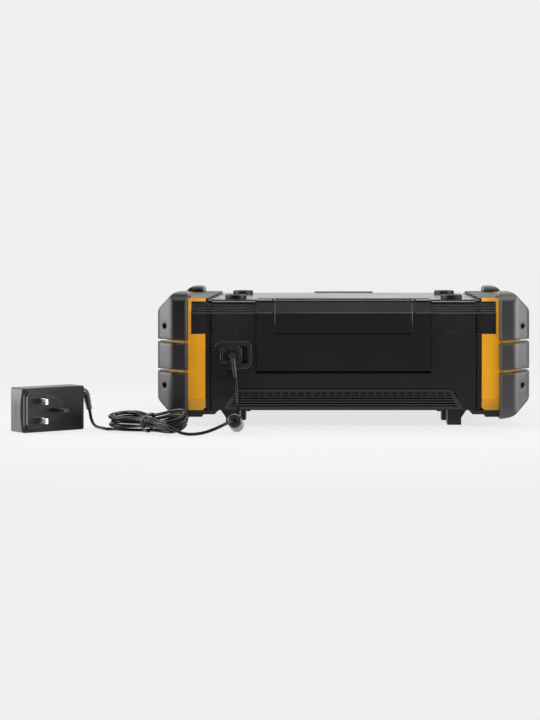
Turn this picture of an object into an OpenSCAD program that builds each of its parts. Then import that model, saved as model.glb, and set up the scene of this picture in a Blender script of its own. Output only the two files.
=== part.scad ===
// Stackable jobsite radio with a plug-in mains adapter on a hank of cord.
// Millimetres, +Z up, front towards -Y, rear towards +Y.
// The origin is on the standing surface, under the middle of the radio.

/* [Body] */
// Depth of the housing without the bumpers
body_depth = 319; // [313:1:325]
// Width of the middle housing between the end bands
core_width = 313; // [312:1:320]
// Width of the seam band between housing and end frame
band_width = 7; // [6:0.5:9]
// Distance from the end band to the outer face of the end frame
frame_width = 46.5; // [45:0.5:50]
// Underside of the housing above the standing surface
floor_z = 19; // [17:0.5:21]
// Height of the joint between lower and upper housing
split_z = 66.5; // [65:0.5:67]
// Top face of the housing
deck_z = 149.5; // [149:0.5:151]
// Top face of the end frames
frame_top_z = 152; // [151.5:0.5:153.5]
// Wall of the housing shells
wall = 4; // [3.6:0.1:4.4]
// Wall of the end frames
frame_wall = 5; // [4.6:0.1:5.6]
// Thickness of the raised platform on the deck
platform_rise = 2; // [1:0.5:3]

/* [Edges] */
// Depth of the bevel at the top edges
top_bevel_depth = 8; // [7:0.5:9]
// Height of the bevel at the top edges
top_bevel_height = 15.6; // [14.6:0.2:16.6]
// Depth of the bevel at the bottom edges
low_bevel_depth = 7.5; // [6.5:0.5:8.5]
// Height of the bevel at the bottom edges
low_bevel_height = 14.3; // [13.5:0.1:15]
// Upright corner bevel of the end frames
frame_bevel = 21; // [19:1:23]
// Bevel along the outer top edge of the end frames
frame_top_bevel = 10; // [8:1:11]
// Bevel along the outer bottom edge of the end frames
frame_low_bevel = 7; // [6:1:8]

/* [Bumpers] */
// How far a bumper stands out past the end frame
bumper_out = 11; // [8:0.5:12]
// How far a bumper stands proud of front and rear faces
bumper_proud = 6; // [5:0.5:8]
// Half distance between the inner edges of two bumpers
bumper_inner_x = 184; // [183:0.5:186]
// Length of a bumper along the end of the radio
bumper_length = 57; // [52:1:62]
// Top of the bumpers
bumper_top_z = 159.4; // [158:0.2:163]
// Bottom of the bumpers
bumper_low_z = 8.7; // [7:0.1:10]
// Upright corner bevel of a bumper
bumper_bevel = 18; // [16:1:20]
// How far the rounding of a bumper's edges reaches
bumper_round = 5; // [3:0.5:6]
// Heights of the two grooves that part a bumper in three pads
groove_heights = [67.1, 101.9];
// Height of a groove
groove_height = 3.6; // [3:0.2:5]
// How far a groove falls towards its inner end
groove_fall = 1.8; // [0:0.2:3]
// Heights of the bumper screws
bumper_screw_heights = [49, 119];
// Radius of a bumper screw's head
screw_head_r = 3; // [2.6:0.1:3.3]
// Radius of a bumper screw's shank
screw_r = 1.75; // [1.5:0.05:2]

/* [Battery door] */
// Width of the battery door
door_width = 205.6; // [200:0.4:206]
// Height of the door's lower edge
door_low_z = 66.2; // [65.8:0.1:66.6]
// How far the door stands proud of the rear face
door_proud = 3.1; // [2.9:0.1:3.5]
// Thickness of the door
door_thick = 4.7; // [4.5:0.1:4.9]
// Gap round the door
door_gap = 0.6; // [0.4:0.1:1]
// Width of the latch flap on the door
flap_width = 161.2; // [150:0.4:168]
// Height of the latch flap's pivot
flap_pivot_z = 112; // [108:1:116]
// Width of the battery bay inside
bay_width = 193; // [180:1:193]
// Depth of the battery bay inside
bay_depth = 73; // [60:1:85]
// Lower and upper face of the battery bay inside
bay_z = [77, 129];

/* [Vent and grilles] */
// Number of slots in the bottom vent
vent_rows = 6; // [4:1:6]
// Pitch of the vent slots
vent_pitch = 3.1; // [2.9:0.1:3.2]
// Height of one vent slot
vent_slot = 1.5; // [1.2:0.1:1.7]
// Lower edge of the rear corner grilles
grille_low_z = 109.7; // [108:0.1:111]
// Upper edge of the rear corner grilles
grille_high_z = 147.9; // [147:0.1:148.4]
// Pitch of the ribs on the rear corner grilles
rib_pitch = 3.2; // [2.8:0.2:4]
// Size of a front grille, across and up
front_grille = [78, 108];
// Pitch of the slots in a front grille
front_pitch = 6; // [5:0.5:8]

/* [Controls] */
// Diameter of the volume knob
knob_d = 44; // [36:1:48]
// Height of the knob's centre
knob_z = 57; // [55:1:58]
// Size of a push button, across and up
button_size = [20, 10];
// How far a push button travels
button_travel = 1.2; // [0.8:0.1:1.3]
// Size of the display window, across and up
display_size = [88, 26];
// Height of the display's centre
display_z = 100; // [98:1:101]

/* [Top] */
// Diameter of a locating stud on the deck
stud_d = 26; // [22:1:30]
// Height of a locating stud
stud_height = 5; // [4:0.5:6]
// Place of the studs, across and along, from the middle
stud_place = [131, 90];
// Width of the grip sleeve on the carry handle
grip_width = 77; // [70:1:84]

/* [Feet] */
// Width of a foot
foot_width = 16.5; // [14:0.5:18]
// Inner edge of the feet from the middle
foot_inner_x = 124; // [120:1:128]

/* [Cord set] */
// Diameter of the cord
cord_d = 3.8;
// Length, thickness and height of the adapter's case
adapter_size = [84, 29, 51];

/* [Hidden] */
$fn = 64;
far = 600;
fit_gap = 0.2;
run_gap = 0.05;
pin_gap = 0.03;

// Housing
rear_y = body_depth / 2;
core_x = core_width / 2;
band_x = core_x + band_width;
frame_x = band_x + frame_width;
deck_under = deck_z - wall;
fascia_y = -rear_y + 13.5;
seam_step = 0.6;
grille_seat = 2.4;
grille_inner_x = 103.9;
grille_outer_x = 180.5;
grille_ledge = 4.5;
rear_inner_y = rear_y - wall;
skin_y = rear_y - top_bevel_depth - 1;

// Front
console_size = [140, 96];
console_z = 76;
console_y = -rear_y + 6;
console_back_y = console_y + 4;
board_y = console_back_y + 6.5;
board_thick = 1.6;
control_posts = [[-64.8, 35], [64.8, 35], [-64.8, 109], [64.8, 109]];
front_grille_x = 114;
front_grille_z = 84;
woofer_r = 37;
button_x = 50;
button_gap = 0.3;
button_flange = 1.5;
button_cap_y = console_y - 2.5;
button_rows = [76, 57, 38];
shaft_r = 3;

// Door
door_x = door_width / 2;
door_high_z = deck_z + 1.7;
door_edge_y = rear_y - top_bevel_depth - 0.1;
hinge_y = rear_y - 1.1;
hinge_z = door_low_z + 3;
hinge_pin_r = 1.2;
ear_r = 2.4;
ear_x = [76, 80, 90, 94];
flap_x = flap_width / 2;
flap_pivot_y = rear_y + 1.9;
flap_low_z = flap_pivot_z - 1.4;
trunnion_r = 0.8;
tooth_half = 14;
tooth_z = [140.8, 143];
tooth_tip_y = rear_y - 14.9;
bay_wall = 2.5;
bay_plate_y = rear_y - 9;
bay_plate_thick = 3;
bay_front_y = bay_plate_y + bay_plate_thick;
bay_floor_y = bay_front_y - bay_depth;
bay_plate_x = door_x + 5.2;
bay_plate_z = [60, 134.5];
seal_y = rear_y - 3.5;
seal_thick = 1.6;

// Port
port_centre = [130.5, 85];
port_plate = [44, 33];
port_hole = [34.4, 20.8];
port_wall = 1.5;
port_floor_y = rear_y - 14;
port_plate_rise = 0.8;
socket_centre = [132.85, 85.25];
socket_size = [25.7, 19.3];
socket_face_y = rear_y - 1.5;
jack = [131.3, 84.4];
jack_r = 2.75;
peg = [142, 90];
peg_r = 1.5;
cover_y = rear_y + 1;
cover_thick = 2.8;

// Carry handle, folded in its well
well_x = 74;
well_y = [-rear_y + 18, -rear_y + 79];
well_z = 120.5;
well_wall = 2.5;
handle_pivot = [-rear_y + 71.5, deck_z - 8.5];
handle_pin_r = 3;
arm_x = [62, 70];
bar_y = [-rear_y + 20.5, -rear_y + 40.5];
bar_z = [deck_z - 16, deck_z - 0.5];
grip_y = [bar_y[0] - 1.5, bar_y[1] + 1.5];
grip_top_z = deck_z + 2.5;

// Dark pads on the end frames
top_pad_edge = 3;
top_pad_y = rear_y - top_bevel_depth - 1;
top_pad_thick = 1.7;

// Side latches
latch_half = 45.4;
latch_pocket = [46, 124];
latch_pivot_z = 114;
latch_pocket_x = frame_x - 8;
latch_pivot_x = frame_x - 4;
latch_pin_r = 2.5;

// Inside
board_seat_z = floor_z + 14;

// Feet and rails
foot_y = rear_y - 39;
rail_low_z = 11;
rail_x = [148, bumper_inner_x];

// Adapter, standing on its long edge
adapter_place = [343.8, 201.5, adapter_size[2] / 2];
adapter_turn = 218;
plug_block_rise = 7;
pin_spacing = 22.2;
live_pin_x = -23;
// Radius of the bowed end of the adapter
adapter_bow_r = 220;
relief_z = 18;
relief_bend = 9;
// Steps of the relief's lower part, out and down
relief_step = [1, 4.2];

// Free cord from the plug through the ferrite to the hank, points chosen by hand
port_lead_points = [
    [127.7, 164.5, 58.5], [127, 164.6, 52], [126.2, 165.6, 44], [125.3, 168.4, 36],
    [124.5, 173, 28], [123.8, 179.5, 20.5], [123.3, 187.5, 13.5], [122.9, 197, 7.8],
    [122.6, 206.5, 5.2], [122.5, 216, 5.8], [122.6, 225.5, 8.1], [123.1, 234.5, 10.7],
    [123.6, 243.5, 13.3], [124.2, 252.5, 15.8], [126.2, 260.5, 16.6], [130.8, 267.3, 14.8],
    [137.6, 271.8, 11.6], [145.4, 273.8, 8.2], [152.8, 274, 5.4], [160.2, 273.8, 3.5],
    [167.4, 274.4, 2.6], [174.6, 276, 2.6], [181.8, 277.2, 4], [188.8, 276.8, 6.9],
    [195.6, 274.2, 10.5]
];

// Free cord from the hank to the adapter, points chosen by hand
adapter_lead_points = [
    [270.3, 211.8, 2.4], [274.9, 206.5, 2], [278.6, 200.2, 2], [282.1, 193.6, 2],
    [285.6, 187.1, 2], [289.2, 180.8, 2.1], [292.6, 175, 3.4], [295.6, 170.4, 6.6],
    [297.8, 167.4, 11.6]
];

ferrite_r = 8.3;
ferrite_bore_r = 2.4;
ferrite_length = 28;
ferrite_centre = [123.3, 238.9, 11.95];
ferrite_tilt = 16;
ferrite_yaw = -3;

// Hank: runs to and fro between two folds, four layers, drawn in at the waist
hank_runs = 11;
hank_run_length = 76;
hank_start = [254, 206.5];
hank_bearing = 143.8;
hank_inner_r = 10.5;
hank_step = 4.8;
hank_layer = 4.6;
hank_squeeze = 8.2;
hank_twist = [8, 26];
hank_centre_z = [11.5, 14.9];
hank_dip = 2.2;
run_steps = 7;
fold_steps = 5;
run_share = 0.64;
reverse_runs = [4, 7, 10];

// ---------- Helpers ----------

// Outline of the housing in depth and height, drawn in by t
function bevel_pull(t, long, short) = t * (sqrt(long * long + short * short) - long) / short;
function section(t, top = deck_z) = let (
        low_y = rear_y - low_bevel_depth - bevel_pull(t, low_bevel_depth, low_bevel_height),
        low_z = floor_z + low_bevel_height + bevel_pull(t, low_bevel_height, low_bevel_depth),
        top_y = rear_y - top_bevel_depth - bevel_pull(t, top_bevel_depth, top_bevel_height),
        top_z = top - top_bevel_height - bevel_pull(t, top_bevel_height, top_bevel_depth),
        y = rear_y - t
    ) [
        [-low_y, floor_z + t], [low_y, floor_z + t], [y, low_z], [y, top_z],
        [top_y, top - t], [-top_y, top - t], [-y, top_z], [-y, low_z]
    ];

// Plan outline of one end with two upright bevels, drawn in by t
function end_plan(x0, x1, half_depth, bevel, t) = let (
        pull = t * (sqrt(2) - 1)
    ) [
        [x0, -half_depth + t], [x1 - bevel - pull, -half_depth + t],
        [x1 - t, -half_depth + bevel + pull], [x1 - t, half_depth - bevel - pull],
        [x1 - bevel - pull, half_depth - t], [x0, half_depth - t]
    ];

// Outline with its corners rounded, each rounding reaching d along both sides
function soft_corners(outline, d, steps = 4) = let (count = len(outline)) [
        for (i = [0 : count - 1])
            let (
                p = outline[i],
                back = outline[(i + count - 1) % count] - p,
                on = outline[(i + 1) % count] - p,
                reach = min(d, 0.45 * norm(back), 0.45 * norm(on)),
                a = p + reach * unit(back),
                b = p + reach * unit(on)
            )
                for (k = [0 : steps])
                    let (f = k / steps)
                        a * (1 - f) * (1 - f) + p * 2 * f * (1 - f) + b * f * f
    ];

// A (depth, height) outline drawn out across the radio
module across(x0, x1, outline) {
    translate([x0, 0, 0])
        rotate([90, 0, 90])
            linear_extrude(x1 - x0)
                polygon(outline);
}

// A 2D shape in (across, height) drawn out along the depth
module along(y0, y1) {
    translate([0, y1, 0])
        rotate([90, 0, 0])
            linear_extrude(y1 - y0)
                children();
}

module box(x, y, z) {
    translate([x[0], y[0], z[0]])
        cube([x[1] - x[0], y[1] - y[0], z[1] - z[0]]);
}

module both_sides() {
    children();
    mirror([1, 0, 0])
        children();
}

module rounded(size, r) {
    square([size[0] - 2 * r, size[1]], center = true);
    square([size[0], size[1] - 2 * r], center = true);
    for (x = [-1, 1], y = [-1, 1])
        translate([x * (size[0] / 2 - r), y * (size[1] / 2 - r)])
            circle(r);
}

// A round bar along the depth, centred at (across, height)
module bar_y_axis(place, y0, y1, r) {
    translate([place[0], y1, place[1]])
        rotate([90, 0, 0])
            cylinder(r = r, h = y1 - y0);
}

// A round bar across the radio, centred at (depth, height)
module bar_x_axis(place, x0, x1, r) {
    translate([x0, place[0], place[1]])
        rotate([0, 90, 0])
            cylinder(r = r, h = x1 - x0);
}

// The part of a skin that lies outside the section drawn in by t
module outside_section(x, z, t) {
    difference() {
        box(x, [skin_y, rear_y + 20], z);
        across(x[0] - 1, x[1] + 1, section(t));
    }
}

// ---------- Housing ----------

module core_shell() {
    difference() {
        across(-core_x, core_x, section(0));
        across(-core_x - 1, core_x + 1, section(wall));
        box([-far, far], [-far, fascia_y], [-far, far]);
    }
}

module door_opening() {
    box([-door_x - door_gap, door_x + door_gap], [rear_y - top_bevel_depth - 0.8, far],
        [door_low_z - 3, far]);
}

module lower_housing() {
    color("#202021")
    difference() {
        union() {
            difference() {
                core_shell();
                box([-far, far], [-far, far], [split_z, far]);
            }
            // Posts under the main board, and ribs under the battery bay
            board_places()
                translate([0, 0, floor_z + 1 - board_seat_z])
                    cylinder(r = 4, h = board_seat_z - floor_z - 1);
            for (x = [-60, 60])
                box([x - 1.5, x + 1.5], [bay_floor_y + 4, bay_plate_y - 4],
                    [floor_z + 1, bay_z[0] - bay_wall]);
        }
        door_opening();
        vent_recess(0);
        board_places()
            translate([0, 0, -10])
                cylinder(r = screw_r + pin_gap, h = 11);
        foot_places()
            cylinder(r = screw_r + pin_gap, h = floor_z + wall + 1);
    }
}

module board_places() {
    for (x = [-52, 52], y = [-62, 12])
        translate([x, y, board_seat_z])
            children();
}

module foot_places() {
    both_sides()
        for (y = [-1, 1])
            translate([foot_inner_x + foot_width / 2, y * foot_y, 0])
                children();
}

module upper_housing() {
    color("#222223")
    difference() {
        union() {
            difference() {
                core_shell();
                box([-far, far], [-far, far], [-far, split_z]);
            }
            platform();
            handle_well();
            // Wall behind the top of the door
            box([-door_x - 4, door_x + 4], [bay_plate_y - 3, bay_plate_y], [133, deck_under + 1]);
        }
        door_opening();
        both_sides()
            grille_recess();
        handle_well_space();
        port_hole_cut();
        // Slot that the latch tooth passes
        box([-tooth_half - 2, tooth_half + 2], [bay_plate_y - 4, bay_plate_y + 1],
            [tooth_z[0] - 0.3, deck_under]);
        for (x = [-1, 1], y = [-1, 1])
            translate([x * stud_place[0], y * stud_place[1], deck_under - 1])
                cylinder(r = screw_r + pin_gap, h = wall + 2);
    }
}

module platform() {
    near_y = rear_y - top_bevel_depth - 1.3;
    far_y = near_y - 220;
    half = 102;
    translate([0, 0, deck_z - 1])
        linear_extrude(platform_rise + 1)
            polygon([
                [-half, near_y], [-half, far_y + 14], [-half + 14, far_y],
                [half - 14, far_y], [half, far_y + 14], [half, near_y]
            ]);
}

module handle_well() {
    box([-well_x - well_wall, well_x + well_wall],
        [well_y[0] - well_wall, well_y[1] + well_wall], [well_z - well_wall, deck_under + 1]);
    both_sides()
        bar_x_axis(handle_pivot, well_x, well_x + 6, 6);
}

module handle_well_space() {
    box([-well_x, well_x], well_y, [well_z, far]);
    both_sides()
        bar_x_axis(handle_pivot, well_x - 1, well_x + 7, handle_pin_r + pin_gap);
}

// Recess of a rear corner grille, with the window behind it
module grille_recess() {
    outside_section([grille_inner_x - fit_gap, far], [grille_low_z, grille_high_z], grille_seat);
    intersection() {
        box([grille_inner_x + grille_ledge, core_x - grille_ledge], [rear_y / 2, far],
            [grille_low_z + grille_ledge, grille_high_z - 7]);
        outside_section([0, far], [grille_low_z, grille_high_z], wall + 3);
    }
}

module rear_grille() {
    span = [grille_inner_x, grille_outer_x - fit_gap];
    heights = [grille_low_z + fit_gap, grille_high_z - fit_gap];
    knee_z = deck_z - top_bevel_height;
    slope = atan(top_bevel_depth / top_bevel_height);
    face = 0.5;
    cut = 0.9;
    difference() {
        intersection() {
            across(span[0], span[1], section(face));
            box(span, [skin_y, far], heights);
        }
        across(span[0] - 1, span[1] + 1, section(grille_seat));
        // Grooves between the ribs, upright part
        for (z = [heights[0] + rib_pitch / 2 : rib_pitch : knee_z - rib_pitch / 2])
            box([span[0] - 1, span[1] + 1], [rear_y - face - cut, far], [z, z + rib_pitch / 2]);
        // Grooves between the ribs, sloped part
        translate([0, rear_y - face, knee_z])
            rotate([slope, 0, 0])
                for (s = [rib_pitch / 2 : rib_pitch : top_bevel_height - rib_pitch])
                    box([span[0] - 1, span[1] + 1], [-cut, 5], [s, s + rib_pitch / 2]);
        // Shadow lines of the seam band that passes under the grille
        for (x = [core_x, band_x])
            box([x - 0.4, x + 0.4], [rear_y - face - cut, far], [0, far]);
        box([core_x, core_x + 5], [0, far], [heights[1] - 3, far]);
        across(core_x - 1, core_x + 6, section(1.2));
    }
}

module rear_grille_right() {
    color("#2c2c2e") rear_grille();
}

module rear_grille_left() {
    color("#2c2c2e") mirror([1, 0, 0]) rear_grille();
}

// Outline of the bottom vent, drawn in by t
function vent_outline(t) = [
    [-vent_half(floor_z + 0.6) + t, floor_z + 0.6 + t * 0.6],
    [vent_half(floor_z + 0.6) - t, floor_z + 0.6 + t * 0.6],
    [vent_half(vent_top_z) - t, vent_top_z - t], [-vent_half(vent_top_z) + t, vent_top_z - t]
];
vent_top_z = floor_z + 25.8;
function vent_half(z) = 128.5 + (vent_top_z - z) * 0.6;

module vent_recess(grow) {
    intersection() {
        along(0, far)
            polygon(vent_outline(-fit_gap));
        outside_section([-far, far], [0, vent_top_z + 5], grille_seat);
    }
    intersection() {
        along(rear_y - 20, far)
            polygon(vent_outline(4));
        box([-far, far], [0, far], [floor_z + wall + 1 - grow, far]);
    }
}

module vent_grille() {
    first_z = vent_top_z - 4.4;
    rib_spacing = 9.2;
    color("#1c1c1d")
    difference() {
        intersection() {
            across(-far / 2, far / 2, section(0.3));
            along(skin_y, far)
                polygon(vent_outline(0));
        }
        across(-far / 2 - 1, far / 2 + 1, section(grille_seat));
        for (row = [0 : vent_rows - 1]) {
            z = first_z - row * vent_pitch;
            half = vent_half(z) - 6;
            difference() {
                along(rear_y - 15, far)
                    polygon([
                        [-half, z], [-half - 0.9, z - vent_slot], [half + 0.9, z - vent_slot], [half, z]
                    ]);
                // Upright ribs cross the two upper rows
                if (row < 2)
                    for (x = [-13 : 13])
                        box([x * rib_spacing - 0.7, x * rib_spacing + 0.7], [0, far], [z - 3, z + 1]);
            }
        }
    }
}

// ---------- Ends ----------

// Flat of an end frame's top, drawn in by t
module top_pad(x0, t) {
    intersection() {
        linear_extrude(far)
            polygon(end_plan(x0, frame_x - frame_top_bevel, rear_y, frame_bevel - frame_top_bevel, top_pad_edge + t));
        box([0, far], [t - top_pad_y, top_pad_y - t], [0, frame_top_z - t]);
    }
}

module end_bands() {
    color("#1a1a1b")
    both_sides() {
        difference() {
            across(core_x, band_x, section(seam_step));
            across(core_x - 1, band_x - 3, section(seam_step + 3));
            outside_section([0, far], [grille_low_z, far], grille_seat);
            box([core_x - 1, band_x + 1], [-110, 110], [46, 128]);
        }
        // Dark pad let into the top of the end frame, hung on the band
        difference() {
            top_pad(band_x - 2, 0.1);
            box([band_x, far], [-far, far], [0, frame_top_z - top_pad_thick]);
            box([0, far], [-far, far], [0, deck_z - seam_step - 1]);
        }
    }
}

module frame_form(x0, t) {
    intersection() {
        across(x0, frame_x + 5, section(t, frame_top_z));
        linear_extrude(far)
            polygon(end_plan(x0, frame_x, rear_y, frame_bevel, t));
        along(-far, far)
            polygon([
                [x0, floor_z + t], [frame_x - frame_low_bevel - t * (sqrt(2) - 1), floor_z + t],
                [frame_x - t, floor_z + frame_low_bevel + t * (sqrt(2) - 1)],
                [frame_x - t, frame_top_z - frame_top_bevel - t * (sqrt(2) - 1)],
                [frame_x - frame_top_bevel - t * (sqrt(2) - 1), frame_top_z - t], [x0, frame_top_z - t]
            ]);
    }
}

module end_frame() {
    difference() {
        union() {
            difference() {
                frame_form(band_x, 0);
                frame_form(band_x - 1, frame_wall);
            }
            // Walls round the side latch
            intersection() {
                frame_form(band_x, 0);
                box([latch_pocket_x - 3.5, far], [-latch_pocket[0] - 4, latch_pocket[0] + 4],
                    [floor_z, latch_pocket[1] + 3.5]);
            }
        }
        difference() {
            top_pad(band_x - 2, 0);
            box([0, far], [-far, far], [0, frame_top_z - top_pad_thick]);
        }
        box([latch_pocket_x, far], [-latch_pocket[0], latch_pocket[0]], [0, latch_pocket[1]]);
        translate([latch_pivot_x, far / 2, latch_pivot_z])
            rotate([90, 0, 0])
                cylinder(r = latch_pin_r + pin_gap, h = far);
        intersection() {
            box([0, grille_outer_x], [0, far], [grille_low_z, grille_high_z]);
            outside_section([0, far], [grille_low_z, grille_high_z], grille_seat);
        }
        // Clipped lower inner corners of the rear face
        for (s = [-1, 1])
            translate([band_x, s * rear_y, floor_z])
                rotate([0, 45, 0])
                    cube([5, 40, 5], center = true);
        bumper_screw_places()
            cylinder(r = screw_r + pin_gap, h = 60, center = true);
    }
}

module end_frame_right() {
    color("#d8941f") end_frame();
}

module end_frame_left() {
    color("#d8941f") mirror([1, 0, 0]) end_frame();
}

// Bumper on the right end at the rear; the others mirror it
head_depth = 7;
screw_length = 9;
bumper_x = frame_x + bumper_out;
bumper_y = rear_y + bumper_proud;
bumper_elevation = [
    [bumper_inner_x, bumper_low_z], [bumper_x - 34, bumper_low_z],
    [bumper_x - 21, bumper_low_z + 3.1], [bumper_x, bumper_low_z + 24],
    [bumper_x, bumper_top_z - 21.2], [bumper_x - 20.7, bumper_top_z],
    [bumper_inner_x, bumper_top_z]
];

module bumper_screw_places() {
    for (s = [-1, 1], z = bumper_screw_heights)
        translate([bumper_x - bumper_bevel / 2, s * (bumper_y - bumper_bevel / 2), z])
            rotate([0, 90, s * 45])
                children();
}

module bumper() {
    difference() {
        intersection() {
            linear_extrude(far)
                polygon(soft_corners(
                    end_plan(bumper_inner_x, bumper_x, bumper_y, bumper_bevel, 0), bumper_round
                ));
            along(bumper_y - bumper_length, bumper_y)
                polygon(soft_corners(bumper_elevation, bumper_round));
            across(0, far, soft_corners([
                [bumper_y - bumper_length, bumper_low_z], [bumper_y - 7, bumper_low_z],
                [bumper_y, bumper_low_z + 9], [bumper_y, bumper_top_z - 9],
                [bumper_y - 7, bumper_top_z], [bumper_y - bumper_length, bumper_top_z]
            ], bumper_round - 0.5));
        }
        frame_form(band_x, 0);
        for (z = groove_heights)
            translate([0, 0, -groove_height / 2])
                along(0, far)
                    polygon([
                        [bumper_inner_x - 1, z - groove_fall], [bumper_x + 1, z],
                        [bumper_x + 1, z + groove_height], [bumper_inner_x - 1, z - groove_fall + groove_height]
                    ]);
        bumper_screw_places() {
            translate([0, 0, -head_depth])
                cylinder(r = screw_head_r + 0.4, h = 30);
            cylinder(r = screw_r + 0.3, h = 60, center = true);
        }
    }
}

module bumper_rear_right() {
    color("#8e8e8c") bumper();
}

module bumper_rear_left() {
    color("#8e8e8c") mirror([1, 0, 0]) bumper();
}

module bumper_front_right() {
    color("#8e8e8c") mirror([0, 1, 0]) bumper();
}

module bumper_front_left() {
    color("#8e8e8c") mirror([1, 0, 0]) mirror([0, 1, 0]) bumper();
}

// A screw pointing down the z axis, its head's seat at the origin
module screw() {
    difference() {
        cylinder(r = screw_head_r, h = 2.5);
        translate([0, 0, 1.2])
            cylinder(r = 1.2, h = 3, $fn = 6);
    }
    translate([0, 0, -screw_length])
        cylinder(r = screw_r, h = screw_length + 0.5);
}

module case_screws() {
    color("#3a3a3a") {
        both_sides()
            bumper_screw_places()
                translate([0, 0, -head_depth])
                    screw();
        foot_places()
            translate([0, 0, floor_z - 6])
                mirror([0, 0, 1])
                    screw();
        board_places()
            translate([0, 0, board_thick])
                screw();
        for (p = control_posts)
            translate([p[0], board_y + board_thick, p[1]])
                rotate([-90, 0, 0])
                    screw();
    }
}

module side_latch() {
    color("#1d1d1e")
    difference() {
        union() {
            box([latch_pivot_x - 1, latch_pivot_x + 2.6], [-latch_half, latch_half],
                [floor_z + 11, latch_pivot_z]);
            translate([latch_pivot_x, latch_half, latch_pivot_z])
                rotate([90, 0, 0])
                    cylinder(r = 3.6, h = 2 * latch_half);
            // Claw along the lower edge
            box([latch_pocket_x + 0.6, latch_pivot_x + 2.6], [-latch_half + 12, latch_half - 12],
                [floor_z + 6, floor_z + 11]);
            // Stiffening ribs
            for (y = [-30 : 12 : 30])
                box([latch_pivot_x + 2.5, latch_pivot_x + 3.5], [y - 1.5, y + 1.5],
                    [floor_z + 40, latch_pivot_z - 10]);
        }
        translate([latch_pivot_x, far / 2, latch_pivot_z])
            rotate([90, 0, 0])
                cylinder(r = latch_pin_r + run_gap, h = far);
        // Finger scoop
        translate([latch_pivot_x + 14, 30, floor_z + 24])
            rotate([90, 0, 0])
                cylinder(r = 13, h = 60);
    }
}

module side_latch_right() {
    side_latch();
}

module side_latch_left() {
    mirror([1, 0, 0]) side_latch();
}

module side_latch_pins() {
    color("#b4b6b8")
    both_sides()
        translate([latch_pivot_x, latch_pocket[0] + 4, latch_pivot_z])
            rotate([90, 0, 0])
                cylinder(r = latch_pin_r, h = 2 * latch_pocket[0] + 8);
}

// ---------- Underside and top ----------

module base_rails() {
    step_x = 168;
    color("#19191a")
    both_sides()
        difference() {
            along(-rear_y + low_bevel_depth, rear_y - low_bevel_depth)
                polygon([
                    [rail_x[0], floor_z], [rail_x[0] + 5, rail_low_z + 3], [step_x, rail_low_z + 3],
                    [step_x, rail_low_z], [rail_x[1], rail_low_z], [rail_x[1], floor_z]
                ]);
            // Hollow between the rail's walls
            box([step_x + 3, rail_x[1] - 3], [-rear_y + 14, rear_y - 14], [0, floor_z - 3]);
        }
}

module foot(x0, y0, y1) {
    along(y0, y1)
        polygon([
            [x0, 0], [x0 + foot_width, 0], [x0 + foot_width, floor_z * 0.45],
            [x0 + foot_width + 7, floor_z], [x0, floor_z]
        ]);
}

module feet() {
    inner_y = foot_y - 58;
    color("#262627")
    both_sides()
        for (s = [0, 1])
            mirror([0, s, 0]) {
                difference() {
                    foot(foot_inner_x, foot_y - 15, foot_y + 15);
                    // Counterbored hole of the foot's screw
                    foot_places() {
                        cylinder(r = screw_r + pin_gap, h = far, center = true);
                        cylinder(r = 4, h = 2 * (floor_z - 6), center = true);
                    }
                }
                foot(foot_inner_x - 4, inner_y - 12, inner_y + 12);
            }
}

module top_studs() {
    color("#141415")
    for (x = [-1, 1], y = [-1, 1])
        translate([x * stud_place[0], y * stud_place[1], deck_z]) {
            rotate_extrude()
                polygon([
                    [0, 0], [stud_d / 2, 0], [stud_d / 2, stud_height - 1],
                    [stud_d / 2 - 1, stud_height], [stud_d / 2 - 3.5, stud_height],
                    [stud_d / 2 - 4.3, stud_height - 1], [0, stud_height - 1]
                ]);
            translate([0, 0, -wall])
                cylinder(r = screw_r, h = wall + 1);
        }
}

// ---------- Front ----------

module front_fascia() {
    color("#1e1e1f")
    difference() {
        union() {
            intersection() {
                difference() {
                    across(-core_x, core_x, section(0));
                    across(-core_x - 1, core_x + 1, section(wall));
                }
                box([-far, far], [-far, fascia_y], [-far, far]);
            }
            intersection() {
                across(-core_x, core_x, section(0));
                box([-far, far], [-rear_y, -rear_y + 4.5], [-far, far]);
            }
            along(-rear_y + 1, console_back_y)
                translate([0, console_z])
                    rounded(console_size + [6, 6], 10);
            for (p = control_posts)
                bar_y_axis(p, console_back_y - 1, board_y, 3.2);
        }
        along(-far, console_y)
            translate([0, console_z])
                rounded(console_size, 7);
        // Display window on its ledge
        along(-far, console_y + 2)
            translate([0, display_z])
                rounded(display_size + [0.4, 0.4], 3);
        along(-far, 0)
            translate([0, display_z])
                rounded(display_size - [8, 6], 2);
        bar_y_axis([0, knob_z], -far, 0, shaft_r + 1);
        for (x = [-1, 1], z = button_rows)
            along(-far, 0)
                translate([x * button_x, z])
                    rounded(button_size + [2, 2] * button_gap, 3);
        both_sides() {
            along(-far, -rear_y + grille_seat)
                translate([front_grille_x, front_grille_z])
                    rounded(front_grille + [0.4, 0.4], 12);
            along(-far, 0)
                translate([front_grille_x, front_grille_z])
                    rounded(front_grille - [8, 8], 9);
        }
        for (p = control_posts)
            bar_y_axis(p, console_back_y - 2, board_y + 1, screw_r + pin_gap);
    }
}

module front_grille_panel() {
    rows = floor((front_grille[1] - 12) / front_pitch);
    slot = front_pitch * 0.56;
    column = (front_grille[0] - 16) / 3;
    color("#303032")
    difference() {
        along(-rear_y - 1.6, -rear_y + grille_seat)
            translate([front_grille_x, front_grille_z])
                rounded(front_grille, 12);
        translate([front_grille_x, 0, front_grille_z])
            for (row = [0 : rows - 1], col = [-1, 0, 1])
                box([col * column - column / 2 + 1.5, col * column + column / 2 - 1.5],
                    [-far, far],
                    [(row - (rows - 1) / 2) * front_pitch - slot / 2,
                     (row - (rows - 1) / 2) * front_pitch + slot / 2]);
    }
}

module front_grille_right() {
    front_grille_panel();
}

module front_grille_left() {
    mirror([1, 0, 0]) front_grille_panel();
}

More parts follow.
